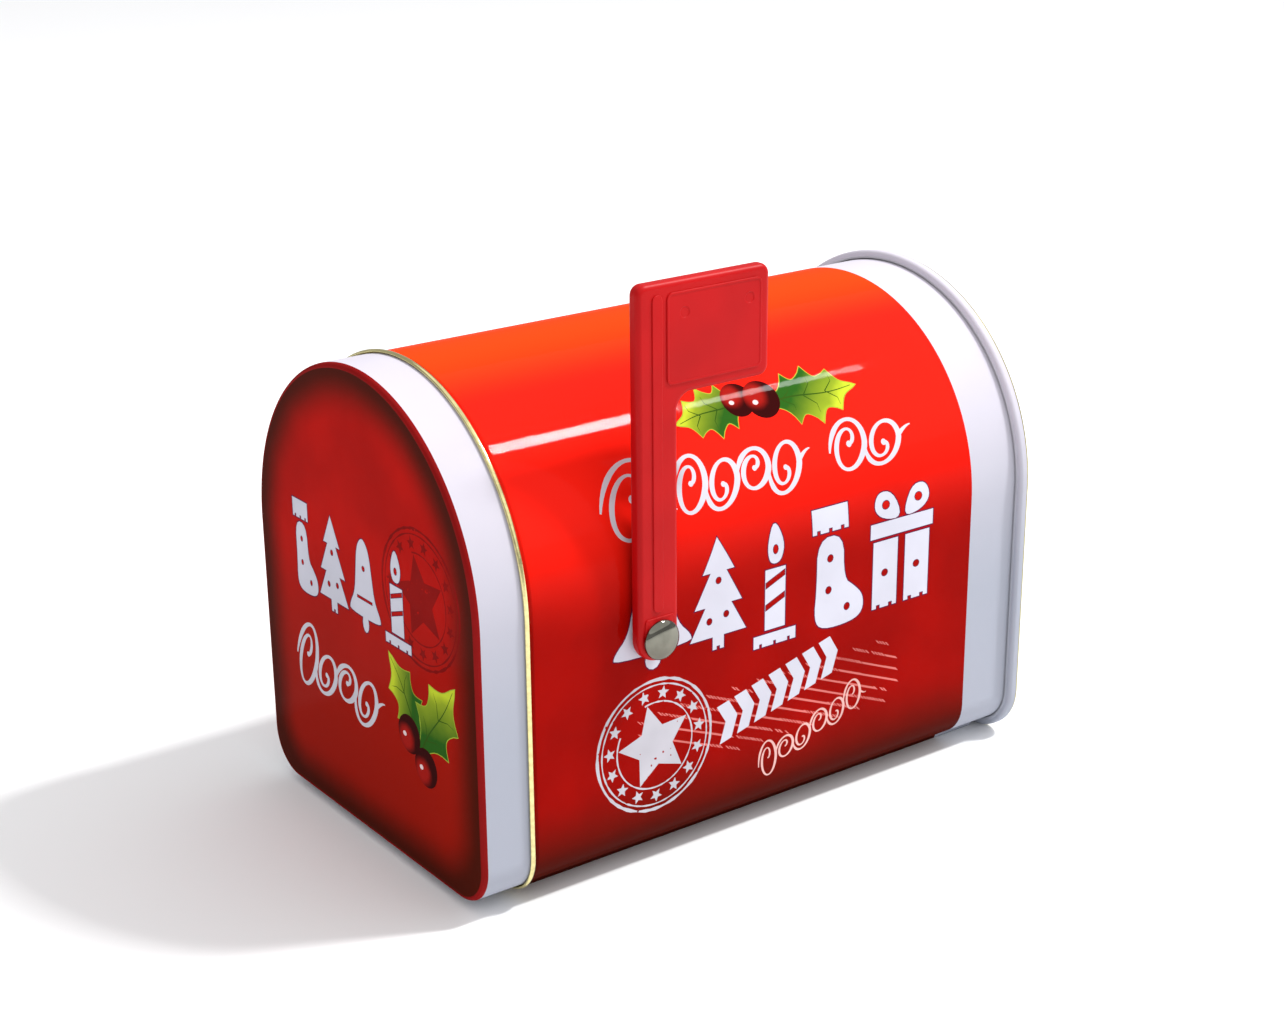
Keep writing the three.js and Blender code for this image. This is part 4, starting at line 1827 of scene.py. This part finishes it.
        def ground(middles: Array) -> list[Wear]:
            """The print's ground, or bare tinplate inside."""
            outside = [Wear.BODY_RED if y < self.red_end else Wear.WHITE for y in middles[:, 1]]
            return outside if depth == 0 else [Wear.INSIDE] * len(middles)

        flat, faces, wears, maps = sheet.divide(drawing, ground)
        points, around, along = self.skin(flat, depth)
        normals = np.cross(around, along) * (1 if depth > 0 else -1)
        piece.add(points, normals, faces, wears, maps)

    def build(self) -> bpy.types.Object:
        """Makes the wrap."""
        piece = Piece("printed_body_wrap")
        stations = self.outline.stations(self.bead_lines + self.lock_lines)
        sweep = DrawnRound(self.outline, stations)
        self.neck(piece, sweep)
        self.flange(piece, sweep)
        straight = self.slot_half_length - self.slot_half_width
        at = (self.outline.crown, self.slot_y)
        slot = RimRound(self, at, straight, self.slot_half_width, self.slot_bend, 12, stations)
        hole = RimRound(self, (RIVET_AT[2], RIVET_AT[1]), 0.0, self.rivet_hole, 0.0, 16, stations)
        near = SidePrint().draw()
        far = near.turned(2 * self.print_middle, self.outline.arch_start + self.outline.arch_end)
        self.middle(piece, stations, 0.0, Drawing(near.shapes + far.shapes).across(), [slot, hole])
        self.middle(piece, stations, self.sheet, Drawing(), [slot, hole])
        printed = self.slot_steps
        slot.draw(piece, self.slot_profile(), lambda k: Wear.BODY_RED if k < printed else Wear.INSIDE)
        hole.draw(piece, [Knot(0.0, 0.0), Knot(0.0, self.sheet)], Wear.INSIDE)
        return piece.build(self.place, "tin", "printed_body", "body_shell")

    def slot_profile(self) -> list[Knot]:
        """The turned-down edge of the coin slot, from the outside to the inside."""
        r, gauge = self.slot_bend, self.sheet
        outer = bend(r, r, r, 3 * QUARTER, 2 * QUARTER, self.slot_steps)
        inner = bend(r, r, r - gauge, 2 * QUARTER, 3 * QUARTER, 3, -1)
        lip = [Knot(0.0, self.slot_lip, 2 * QUARTER), Knot(0.0, self.slot_lip)]
        return [*outer, *lip, Knot(gauge, self.slot_lip), Knot(gauge, self.slot_lip, 0.0), *inner]

    def neck(self, piece: Piece, sweep: DrawnRound) -> None:
        """Adds the hem, the neck and the shoulder.

        Args:
            piece: What gets them.
            sweep: Draws them round the tin.
        """
        gauge, radius = self.sheet, self.neck_curl
        centre = (self.neck_front + radius, self.neck_inset + radius)
        start, end = -QUARTER, -QUARTER - self.roll_turn
        hem_in = bend(*centre, radius - gauge, start, end, 10, -1)
        hem_out = bend(*centre, radius, end, start, 14)
        front, length = [], self.shoulder_end - self.shoulder_start
        for t in np.linspace(0, 1, 7):
            slope = -self.neck_inset * 6 * t * (1 - t) / length
            inset = self.neck_inset * (1 - eased(t))
            front.append((self.shoulder_start + t * length, inset, math.atan2(-1.0, slope)))
        outside = [Knot(y, inset, facing) for y, inset, facing in front]
        inside = [Knot(y, inset + gauge, facing + math.pi) for y, inset, facing in front[::-1]]
        sweep.draw(piece, [*hem_out, outside[0]], Wear.GOLD_EDGE)
        sweep.draw(piece, outside, Wear.BODY_RED)
        sweep.draw(piece, [*inside, *hem_in], Wear.INSIDE)
        sweep.draw(piece, [hem_in[-1].sharp, hem_out[0].sharp], Wear.INSIDE)

    def flange(self, piece: Piece, sweep: DrawnRound) -> None:
        """Adds the bend and the flange.

        Args:
            piece: What gets them.
            sweep: Draws them round the tin.
        """
        gauge, r, bend_y = self.sheet, self.flange_bend, self.flange_front
        tip = [(self.flange_back - gauge, -self.flange_reach), (self.flange_back, -self.flange_reach)]
        outer = bend(bend_y, -r, r, QUARTER, 0, 6, -1) + [Knot(*tip[0], math.pi)]
        inner = [Knot(*tip[1], 0.0)] + bend(bend_y, -r, r + gauge, 0, QUARTER, 6)
        sweep.draw(piece, outer, Wear.WHITE)
        sweep.draw(piece, [Knot(*tip[0]), Knot(*tip[1])], Wear.INSIDE)
        sweep.draw(piece, inner, Wear.INSIDE)


@dataclass(frozen=True)
class RimRound(Sweep):
    """Draws a profile round a hole in the wrap.

    Its way along leads off the hole, and its inset leads into the tin.
    """

    wrap: BodyWrap
    centre: Point2
    straight: float
    radius: float
    offset: float
    steps: int
    rows: Array

    def flat(self, offset: float) -> Array:
        """Draws the hole's edge on the flat sheet.

        Args:
            offset: How far it is moved out.

        Returns:
            Its corners.
        """
        turns, shift = self.turns()
        reach = (self.radius + offset) * np.stack([np.cos(turns), np.sin(turns)], -1)
        return np.array(self.centre) + reach + np.stack([shift, 0 * shift], -1)

    def turns(self) -> tuple[Array, Array]:
        """The angle of each corner, and how far its end lies from the hole's centre."""
        reach, run = self.radius + self.offset, self.straight
        away = self.rows - self.centre[0]
        near = [*np.linspace(-QUARTER, QUARTER, self.steps + 1)]
        far = [*np.linspace(QUARTER, 3 * QUARTER, self.steps + 1)]
        for turn in np.arccos([c for c in (away - run) / reach if 0 < c < 1]):
            near += [turn, -turn]
        for turn in np.arccos([c for c in (away + run) / reach if -1 < c < 0]):
            far += [turn, 2 * math.pi - turn]
        corners = {round(turn * reach, 3): (turn, run) for turn in near}
        corners |= {round(2 * run + turn * reach, 3): (turn, -run) for turn in far}
        for shift in away[np.abs(away) < run]:
            corners[round(QUARTER * reach + run - shift, 3)] = (QUARTER, shift)
            corners[round(3 * QUARTER * reach + 3 * run + shift, 3)] = (3 * QUARTER, shift)
        if not run:
            corners.pop(round(3 * QUARTER * reach, 3))
        ordered = np.array([corners[place] for place in sorted(corners)])
        return ordered[:, 0], ordered[:, 1]

    def ring(self, y: float, inset: float) -> Array:
        """One ring of corners."""
        return self.wrap.skin(self.flat(y), inset)[0]

    def ways(self) -> tuple[Array, Array]:
        """Off the hole, and into the tin."""
        _, around, along = self.wrap.skin(self.flat(0.0), 0.0)
        turns, _ = self.turns()
        away = around * np.cos(turns)[:, None] + along * np.sin(turns)[:, None]
        return away, np.cross(around, along)


@dataclass(frozen=True)
class RearEnd:
    """The stamped end panel with the double seam folded round it."""

    place: TinPlace
    sweep: DrawnRound
    sheet: float = 0.3
    gap: float = 0.3
    seam_front: float = 164.0
    seam_back: float = 167.0
    seam_edge: float = 0.8
    seam_reach: float = 2.4
    lip_turn: float = 1.1
    panel_back: float = 163.5
    wall_inset: float = 0.9
    panel_bend: float = 0.6
    step_inset: float = 7.0
    step_depth: float = 0.7
    step_radius: float = 0.7

    def build(self) -> bpy.types.Object:
        """Makes the rear end."""
        piece = Piece("white_rear_end")
        gauge, edge, reach = self.sheet, self.seam_edge, self.seam_reach
        top_y = self.seam_back - edge
        corner = (self.panel_back + self.panel_bend, self.wall_inset + self.panel_bend)
        panel = bend(*corner, self.panel_bend, math.pi, 3 * QUARTER, 6, -1)
        inner_top = bend(top_y, self.wall_inset - edge, edge, QUARTER, 0, 6)
        outer_top = bend(top_y, edge - reach, edge, 0, -QUARTER, 8)
        turn = self.lip_turn
        foot = bend(self.seam_front + turn, turn - reach, turn, 3 * QUARTER, math.pi, 8)
        self.sweep.draw(piece, [*self.step(0.0)[::-1], *panel, *inner_top], Wear.WHITE)
        self.sweep.draw(piece, [inner_top[-1], *outer_top[:5]], Wear.WHITE)
        self.sweep.draw(piece, outer_top[4:], Wear.SEAM_EDGE)
        lip = [Knot(self.seam_front, -self.gap, math.pi)]
        self.sweep.draw(piece, [outer_top[-1], *foot, *lip], Wear.WHITE)
        edge_on = [Knot(self.seam_front, -self.gap), Knot(self.seam_front + gauge, -self.gap)]
        self.sweep.draw(piece, edge_on, Wear.INSIDE)
        folded = [Knot(self.seam_front + gauge, -self.gap, 0.0)]
        folded += bend(self.seam_front + turn, turn - reach, turn - gauge, math.pi, 3 * QUARTER, 8, -1)
        folded += bend(top_y, edge - reach, edge - gauge, -QUARTER, 0, 6, -1)
        folded += bend(top_y, self.wall_inset - edge, edge - gauge, 0, QUARTER, 6, -1)
        folded += bend(*corner, self.panel_bend + gauge, 3 * QUARTER, math.pi, 6)
        self.sweep.draw(piece, [*folded, *self.step(gauge)], Wear.INSIDE)
        flat, inset = self.panel_back - self.step_depth, self.step_inset + 2 * self.step_radius
        self.sweep.cap(piece, flat, inset, 1, Wear.WHITE)
        self.sweep.cap(piece, flat - gauge, inset, -1, Wear.INSIDE)
        return piece.build(self.place, "tin", "white_end", "rear_panel")

    def step(self, depth: float) -> list[Knot]:
        """Draws the panel's shallow stamped step.

        Args:
            depth: How far below the outside.

        Returns:
            Its profile, from the panel's edge towards its middle.
        """
        knots = []
        back = self.panel_back - depth
        turn = 0 if depth == 0 else math.pi
        for t in np.linspace(0, 1, 9):
            slope = 6 * t * (1 - t) * self.step_depth / (2 * self.step_radius)
            inset = self.step_inset + 2 * self.step_radius * t
            knots.append(Knot(back - self.step_depth * eased(t), inset, math.atan2(slope, 1.0) + turn))
        return knots


@dataclass(frozen=True)
class SlipLid:
    """The stamped lid: printed face, rounded edge, white skirt and gold rolled edge."""

    place: TinPlace
    outline: TinOutline
    sweep: DrawnRound
    sheet: float = 0.3
    edge: float = 1.2
    depth: float = 13.7
    roll: float = 0.65
    roll_turn: float = 2.9 * QUARTER

    def build(self) -> bpy.types.Object:
        """Makes the lid."""
        piece = Piece("slip_lid")
        gauge, edge, roll = self.sheet, self.edge, self.roll
        self.face(piece)
        corner = bend(edge, edge, edge, math.pi, 3 * QUARTER, 8)
        self.sweep.draw(piece, corner, Wear.LID_EDGE)
        centre = (self.depth - roll, gauge - roll)
        start, end = QUARTER, QUARTER - self.roll_turn
        roll_in = bend(*centre, roll - gauge, start, end, 12, -1)
        roll_out = bend(*centre, roll, end, start, 18)
        self.sweep.draw(piece, [corner[-1], roll_in[0]], Wear.WHITE)
        self.sweep.draw(piece, roll_in, lambda k: Wear.WHITE if k < 2 else Wear.GOLD_EDGE)
        self.sweep.draw(piece, [roll_in[-1].sharp, roll_out[0].sharp], Wear.GOLD_EDGE)
        self.sweep.draw(piece, roll_out, Wear.GOLD_EDGE)
        inner = bend(edge, edge, edge - gauge, 3 * QUARTER, math.pi, 8, -1)
        self.sweep.draw(piece, [roll_out[-1], *inner], Wear.INSIDE)
        self.sweep.cap(piece, gauge, edge, 1, Wear.INSIDE)
        return piece.build(self.place, "lid", "printed_lid", "front_lid")

    def face(self, piece: Piece) -> None:
        """Adds the flat printed face.

        Args:
            piece: What gets it.
        """
        ring = self.sweep.ring(0.0, self.edge)
        sheet, drawing = FlatSheet([(x, z) for x, _, z in ring]), LidPrint().draw()
        flat, faces, wears, maps = sheet.divide(drawing, lambda middles: [Wear.LID_RED] * len(middles))
        points = np.stack([flat[:, 0], np.zeros(len(flat)), flat[:, 1]], -1)
        piece.add(points, np.tile([0.0, -1.0, 0.0], (len(flat), 1)), faces, wears, maps)


# --- the flag and its rivet


def corner_arc(
    centre: Point2, radius: float, start: float, end: float, steps: int, hollow: bool = False
) -> list[tuple[float, ...]]:
    """Draws an arc of a plan's edge.

    Args:
        centre: The arc's centre.
        radius: Its radius.
        start: First angle.
        end: Last angle.
        steps: How many parts to cut it into.
        hollow: Whether the material is outside the arc.

    Returns:
        Its corners, each with its outward direction.
    """
    sign, edge = (-1 if hollow else 1), []
    for a in np.linspace(start, end, steps + 1):
        c, s = math.cos(a), math.sin(a)
        edge.append((centre[0] + radius * c, centre[1] + radius * s, sign * c, sign * s))
    return edge


def rounded_box(
    left: float, low: float, right: float, high: float, radius: float, steps: int = 8
) -> list[tuple[float, ...]]:
    """Draws a rectangular plan with round corners.

    Args:
        left, low, right, high: Its edges.
        radius: The corners' radius.
        steps: How many parts each round corner is cut into.

    Returns:
        Its corners, each with its outward direction.
    """
    edge = []
    centres = ((right, low, -1), (right, high, 0), (left, high, 1), (left, low, 2))
    for x, y, quarter in centres:
        middle = (x - radius if x == right else x + radius, y + radius if y == low else y - radius)
        edge += corner_arc(middle, radius, quarter * QUARTER, (quarter + 1) * QUARTER, steps)
    return edge


@dataclass(frozen=True)
class Flag:
    """The moulded flag: arm, round foot and square head, with its raised rib, panel and hub."""

    place: TinPlace
    pivot: Point3 = RIVET_AT
    back: float = 0.6
    front: float = 4.3
    edge: float = 1.3
    rise: float = 83.0
    arm_half: float = 5.6
    head_reach: float = 31.5
    head_height: float = 26.0
    head_corner: float = 2.5
    fillet: float = 4.0
    relief: float = 0.3
    soften: float = 0.16
    ridge: float = 0.42
    ridge_drop: float = 0.12
    rib_left: float = -1.7
    rib_width: float = 2.7
    margin: float = 2.6
    rib_corner: float = 1.2
    panel_corner: float = 1.5
    hub_radius: float = 4.05
    hub_rise: float = 5.4
    hub_corner: float = 0.7
    gate_marks: tuple[Point2, ...] = ((7.2, 75.6), (25.4, 76.0))
    gate_radius: float = 1.35
    bore: float = 2.2
    boss: float = 0.3
    boss_step: float = 0.2

    def plan(self, edge: list[tuple[float, ...]]) -> PlateRound:
        """Makes a sweep round a plan.

        Args:
            edge: The plan's corners, each with its outward direction.

        Returns:
            The sweep, without corners that repeat the one before.
        """
        corners = np.array(edge)
        apart = np.linalg.norm(corners[:, :2] - np.roll(corners[:, :2], 1, axis=0), axis=1)
        kept = [i for i in range(len(corners)) if apart[i] > SAME]
        return PlateRound(self.pivot, corners[kept, :2], corners[kept, 2:])

    def outline(self) -> list:
        """The flag's edge about its pivot."""
        low = self.rise - self.head_height
        corner, half = self.head_corner, self.arm_half
        edge = corner_arc((0, 0), half, -2 * QUARTER, 0, 28)
        hollow = (half + self.fillet, low - self.fillet)
        edge += corner_arc(hollow, self.fillet, 2 * QUARTER, QUARTER, 10, True)
        edge += corner_arc((self.head_reach - corner, low + corner), corner, -QUARTER, 0, 10)
        edge += corner_arc((self.head_reach - corner, self.rise - corner), corner, 0, QUARTER, 10)
        edge += corner_arc((corner - half, self.rise - corner), corner, QUARTER, 2 * QUARTER, 10)
        return edge

    def plateau(
        self, piece: Piece, sweep: PlateRound, base: float, top: float, holes: list, ridged: bool = False
    ) -> None:
        """Adds a flat raised or sunk area with softened edges.

        Args:
            piece: What gets it.
            sweep: The sweep round its plan.
            base: The height of the surface round it.
            top: Its own height.
            holes: The plan corners of each hole in it.
            ridged: Whether a fine ridge runs round its edge.
        """
        r = self.soften
        if top > base:
            knots = [Knot(base, 0.0), Knot(top - r, 0.0, -QUARTER), *bend(top - r, r, r, -QUARTER, 0, 3)[1:]]
            ridge = self.ridge if ridged else 0.0
            if ridge:
                knots += [Knot(top, ridge, 0.0), Knot(top - self.ridge_drop, ridge + r)]
        else:
            knots = [Knot(base, 0.0), Knot(top, r)]
        sweep.draw(piece, knots, Wear.FLAG)
        sweep.face(piece, knots[-1].y, knots[-1].inset, 1, Wear.FLAG, holes)

    def hub_edge(self) -> list[tuple[float, ...]]:
        """The raised hub's edge: half round below, and square with small corners above."""
        small = self.hub_corner
        edge = corner_arc((0, 0), self.hub_radius, -2 * QUARTER, 0, 28)
        for sign, start in ((1, 0), (-1, 1)):
            centre = (sign * (self.hub_radius - small), self.hub_rise - small)
            edge += corner_arc(centre, small, start * QUARTER, (start + 1) * QUARTER, 5)
        return edge

    def build(self) -> bpy.types.Object:
        """Makes the flag."""
        piece = Piece("red_flag")
        body = self.plan(self.outline())
        turn = bend(self.back + self.edge, self.edge, self.edge, math.pi, 3 * QUARTER, 8)
        turn += bend(self.front - self.edge, self.edge, self.edge, -QUARTER, 0, 8)
        body.draw(piece, turn, Wear.FLAG)
        top, right = self.rise - self.margin, self.head_reach - self.margin
        rib_low, rib_right = self.hub_rise + self.rib_corner, self.rib_left + self.rib_width
        rib = self.plan(rounded_box(self.rib_left, rib_low, rib_right, top, self.rib_corner))
        panel_left, panel_low = rib_right + self.margin / 2, self.rise - self.head_height + self.margin
        panel = self.plan(rounded_box(panel_left, panel_low, right, top, self.panel_corner))
        hub = self.plan(self.hub_edge())
        hole = PlateRound.of_circle(self.pivot, self.bore, 40)
        x, y, z = self.pivot
        marks = [PlateRound.of_circle((x, y + u, z + w), self.gate_radius, 24) for u, w in self.gate_marks]
        spots = [mark.plan + np.array(at) for mark, at in zip(marks, self.gate_marks)]
        high = self.front + self.relief
        body.face(piece, self.front, self.edge, 1, Wear.FLAG, [rib.plan, panel.plan, hub.plan])
        self.plateau(piece, rib, self.front, high, [])
        self.plateau(piece, panel, self.front, high, spots, True)
        self.plateau(piece, hub, self.front, high, [hole.plan])
        for mark in marks:
            self.plateau(piece, mark, high - self.ridge_drop, high - 2 * self.ridge_drop, [])
        boss = PlateRound.of_circle(self.pivot, self.arm_half - self.edge - self.boss_step)
        body.face(piece, self.back, self.edge, -1, Wear.FLAG, [boss.plan])
        boss.draw(piece, [Knot(self.back, 0.0), Knot(self.boss, 0.0)], Wear.FLAG)
        boss.face(piece, self.boss, 0.0, -1, Wear.FLAG, [hole.plan])
        hole.draw(piece, [Knot(self.boss, 0.0), Knot(high, 0.0)], Wear.FLAG)
        return piece.build(self.place, "flag", "flag_plastic", "flag")


@dataclass(frozen=True)
class CapRivet:
    """The double-cap rivet that holds the flag, with its washer inside the tin."""

    place: TinPlace
    centre: Point3 = RIVET_AT
    cap_radius: float = 4.85
    cap_rise: float = 2.0
    cap_rim: float = 0.5
    cap_base: float = 4.9
    tube_radius: float = 1.9
    tube_bore: float = 1.3
    pin_radius: float = 1.0
    back_base: float = -1.5
    washer_outer: float = -0.6
    washer_inner: float = -1.2
    washer_radius: float = 5.2
    washer_hole: float = 2.2
    washer_edge: float = 0.12
    gap: float = 0.3

    def dome(self, base: float, side: int) -> list[Knot]:
        """Draws a cap's outside.

        Args:
            base: Where its rim lies.
            side: +1 for the cap outside the tin and -1 for the one inside.

        Returns:
            Its profile, from under its rim to its middle.
        """
        rim = self.cap_rim / 2
        knots = [Knot(base, rim * 1.2), Knot(base, rim * 0.7), Knot(base + side * rim * 0.5, 0.04)]
        crown = self.cap_rise - rim
        for t in np.linspace(0.04, 1, 22):
            angle = t * QUARTER
            facing = math.atan2(-math.cos(angle) * crown, side * math.sin(angle) * self.cap_radius)
            y = base + side * (rim + crown * math.sin(angle))
            knots.append(Knot(y, self.cap_radius * (1 - math.cos(angle)), facing))
        return knots

    def build(self) -> list[bpy.types.Object]:
        """Makes the front cap with its pin, the back cap with its tube, and the washer."""
        sweep = PlateRound.of_circle(self.centre, self.cap_radius)
        pin, tube, bore = (self.cap_radius - r for r in (self.pin_radius, self.tube_radius, self.tube_bore))
        pin_end = self.back_base + self.gap
        front = Piece("rivet_front_cap")
        rim = [Knot(self.cap_base, pin), Knot(self.cap_base, self.cap_rim * 0.6)]
        stem = [Knot(pin_end, self.cap_radius), Knot(pin_end, pin), Knot(self.cap_base, pin)]
        sweep.draw(front, [*stem, *rim[1:], *self.dome(self.cap_base, 1)[1:]], Wear.CHROME)
        back = Piece("rivet_rear_cap")
        tube_end = self.cap_base - self.gap
        sleeve = [Knot(self.back_base, self.cap_radius), Knot(self.back_base, bore), Knot(tube_end, bore)]
        sleeve += [Knot(tube_end, tube), Knot(self.back_base, tube), Knot(self.back_base, self.cap_rim * 0.6)]
        sweep.draw(back, [*sleeve, *self.dome(self.back_base, -1)[1:]], Wear.CHROME)
        washer = Piece("rivet_flat_washer")
        ring = PlateRound.of_circle(self.centre, self.washer_radius)
        inset, soft = self.washer_radius - self.washer_hole, self.washer_edge
        outer, inner = self.washer_outer, self.washer_inner
        section = [Knot(outer, inset), Knot(outer, soft), Knot(outer - soft, 0.0), Knot(inner + soft, 0.0)]
        ring.draw(washer, [*section, Knot(inner, soft), Knot(inner, inset), Knot(outer, inset)], Wear.ZINC)
        return [
            front.build(self.place, "tin", "rivet_chrome", "rivet_cap"),
            back.build(self.place, "tin", "rivet_chrome", "rivet_back_cap"),
            washer.build(self.place, "tin", "washer_zinc", "rivet_washer"),
        ]


# --- the studio


@dataclass(frozen=True)
class Softbox:
    """An area light that hangs in a direction from a point and faces it."""

    name: str
    aim: Point3
    towards: Point3
    distance: float
    width: float
    length: float
    power: float

    def hang(self) -> bpy.types.Object:
        """Makes the light."""
        data = bpy.data.lights.new(self.name, "AREA")
        data.shape = "RECTANGLE"
        data.size, data.size_y = self.length, self.width
        data.energy = self.power
        made = bpy.data.objects.new(self.name, data)
        way = Vector(self.towards).normalized()
        along = (Vector((0, 1, 0)) - way * way.y).normalized()
        turn = Matrix((along, way.cross(along), way)).transposed()
        made.matrix_world = Matrix.Translation(Vector(self.aim) + way * self.distance) @ turn.to_4x4()
        show(made)
        return made


@dataclass(frozen=True)
class Studio:
    """The pale floor, the lights and the camera."""

    azimuth: float = math.radians(53.621)
    elevation: float = math.radians(20.05)
    roll: float = math.radians(-0.433)
    distance: float = 0.541325
    shift_right: float = 0.065254
    shift_up: float = 0.076983
    lens: float = 62.25
    floor_half: float = 14.0
    paper: Colour = (0.92, 0.92, 0.92)
    horizon: Colour = (0.46, 0.46, 0.47)
    zenith: Colour = (0.34, 0.345, 0.36)
    sun_power: float = 1.75
    sun_angle: float = math.radians(120)
    sun_towards: Point3 = (0.3, 0.12, 1.0)
    strip_aim: Point3 = (0.032, -0.0335, 0.107)

    def floor(self) -> None:
        """Lays the pale floor."""
        half = self.floor_half
        mesh = bpy.data.meshes.new("pale_floor")
        corners = [(-half, -half, 0), (half, -half, 0), (half, half, 0), (-half, half, 0)]
        mesh.from_pydata(corners, [], [(0, 1, 2, 3)])
        mesh.materials.append(StudioFloor("pale_paper", self.paper).make())
        made = bpy.data.objects.new("pale_floor", mesh)
        show(made)

    def lights(self) -> None:
        """Hangs the softboxes and sets the pale surroundings."""
        world = bpy.data.worlds.new("pale_room")
        world.use_nodes = True
        tree = world.node_tree
        sky = tree.nodes["Background"]
        height = tree.nodes.new("ShaderNodeSeparateXYZ")
        tree.links.new(tree.nodes.new("ShaderNodeTexCoord").outputs["Generated"], height.inputs[0])
        dome = tree.nodes.new("ShaderNodeValToRGB")
        for element, shade in zip(dome.color_ramp.elements, (self.horizon, self.zenith)):
            element.color = (*shade, 1.0)
        tree.links.new(height.outputs["Z"], dome.inputs["Fac"])
        tree.links.new(dome.outputs["Color"], sky.inputs["Color"])
        bpy.context.scene.world = world
        sun = bpy.data.lights.new("high_soft_light", "SUN")
        sun.energy, sun.angle = self.sun_power, self.sun_angle
        made = bpy.data.objects.new("high_soft_light", sun)
        made.matrix_world = Vector(self.sun_towards).to_track_quat("Z", "Y").to_matrix().to_4x4()
        show(made)
        Softbox("strip_softbox", self.strip_aim, (0.26, 0.53, 0.79), 1.5, 0.13, 0.17, 18.0).hang()
        Softbox("strip_far_end", self.strip_aim, (0.25, 0.64, 0.74), 1.5, 0.07, 0.16, 3.0).hang()

    def camera(self, place: TinPlace) -> None:
        """Stands the camera.

        Args:
            place: Where the tin's measure starts, which the camera's place is measured from.
        """
        az, el = self.azimuth, self.elevation
        back = Vector((math.sin(az) * math.cos(el), -math.cos(az) * math.cos(el), math.sin(el)))
        level = Vector((math.cos(az), math.sin(az), 0))
        upright = back.cross(level)
        right = math.cos(self.roll) * level + math.sin(self.roll) * upright
        up = -math.sin(self.roll) * level + math.cos(self.roll) * upright
        data = bpy.data.cameras.new("camera")
        data.lens, data.sensor_width = self.lens, 36.0
        data.clip_start = 0.01
        made = bpy.data.objects.new("camera", data)
        start = Vector((place.x, place.y, place.z))
        stand = start + right * self.shift_right + up * self.shift_up + back * self.distance
        turn = Matrix((right, up, back)).transposed()
        made.matrix_world = Matrix.Translation(stand) @ turn.to_4x4()
        show(made)
        bpy.context.scene.camera = made

    def set_up(self, place: TinPlace) -> None:
        """Makes the whole studio.

        Args:
            place: Where the tin's measure starts.
        """
        self.floor()
        self.lights()
        self.camera(place)
        bpy.context.scene.view_settings.view_transform = "Standard"


def main() -> None:
    """Builds every piece in order."""
    logging.basicConfig(level=logging.INFO, format="%(name)s: %(message)s")
    outline = TinOutline()
    place = TinPlace.from_frame(BodyWrap.bead_drop)
    start = outline.arch_start * MM
    FINISHES.put(Wear.LID_RED, replace(Wear.LID_RED.value, centre=(place.x, place.z), arch_start=start))
    sweep = DrawnRound(outline, outline.stations())
    BodyWrap(place, outline).build()
    RearEnd(place, sweep).build()
    SlipLid(place, outline, sweep).build()
    Flag(place).build()
    CapRivet(place).build()
    Studio().set_up(place)
    LOG.info("sizes written")


if __name__ == "__main__":
    main()
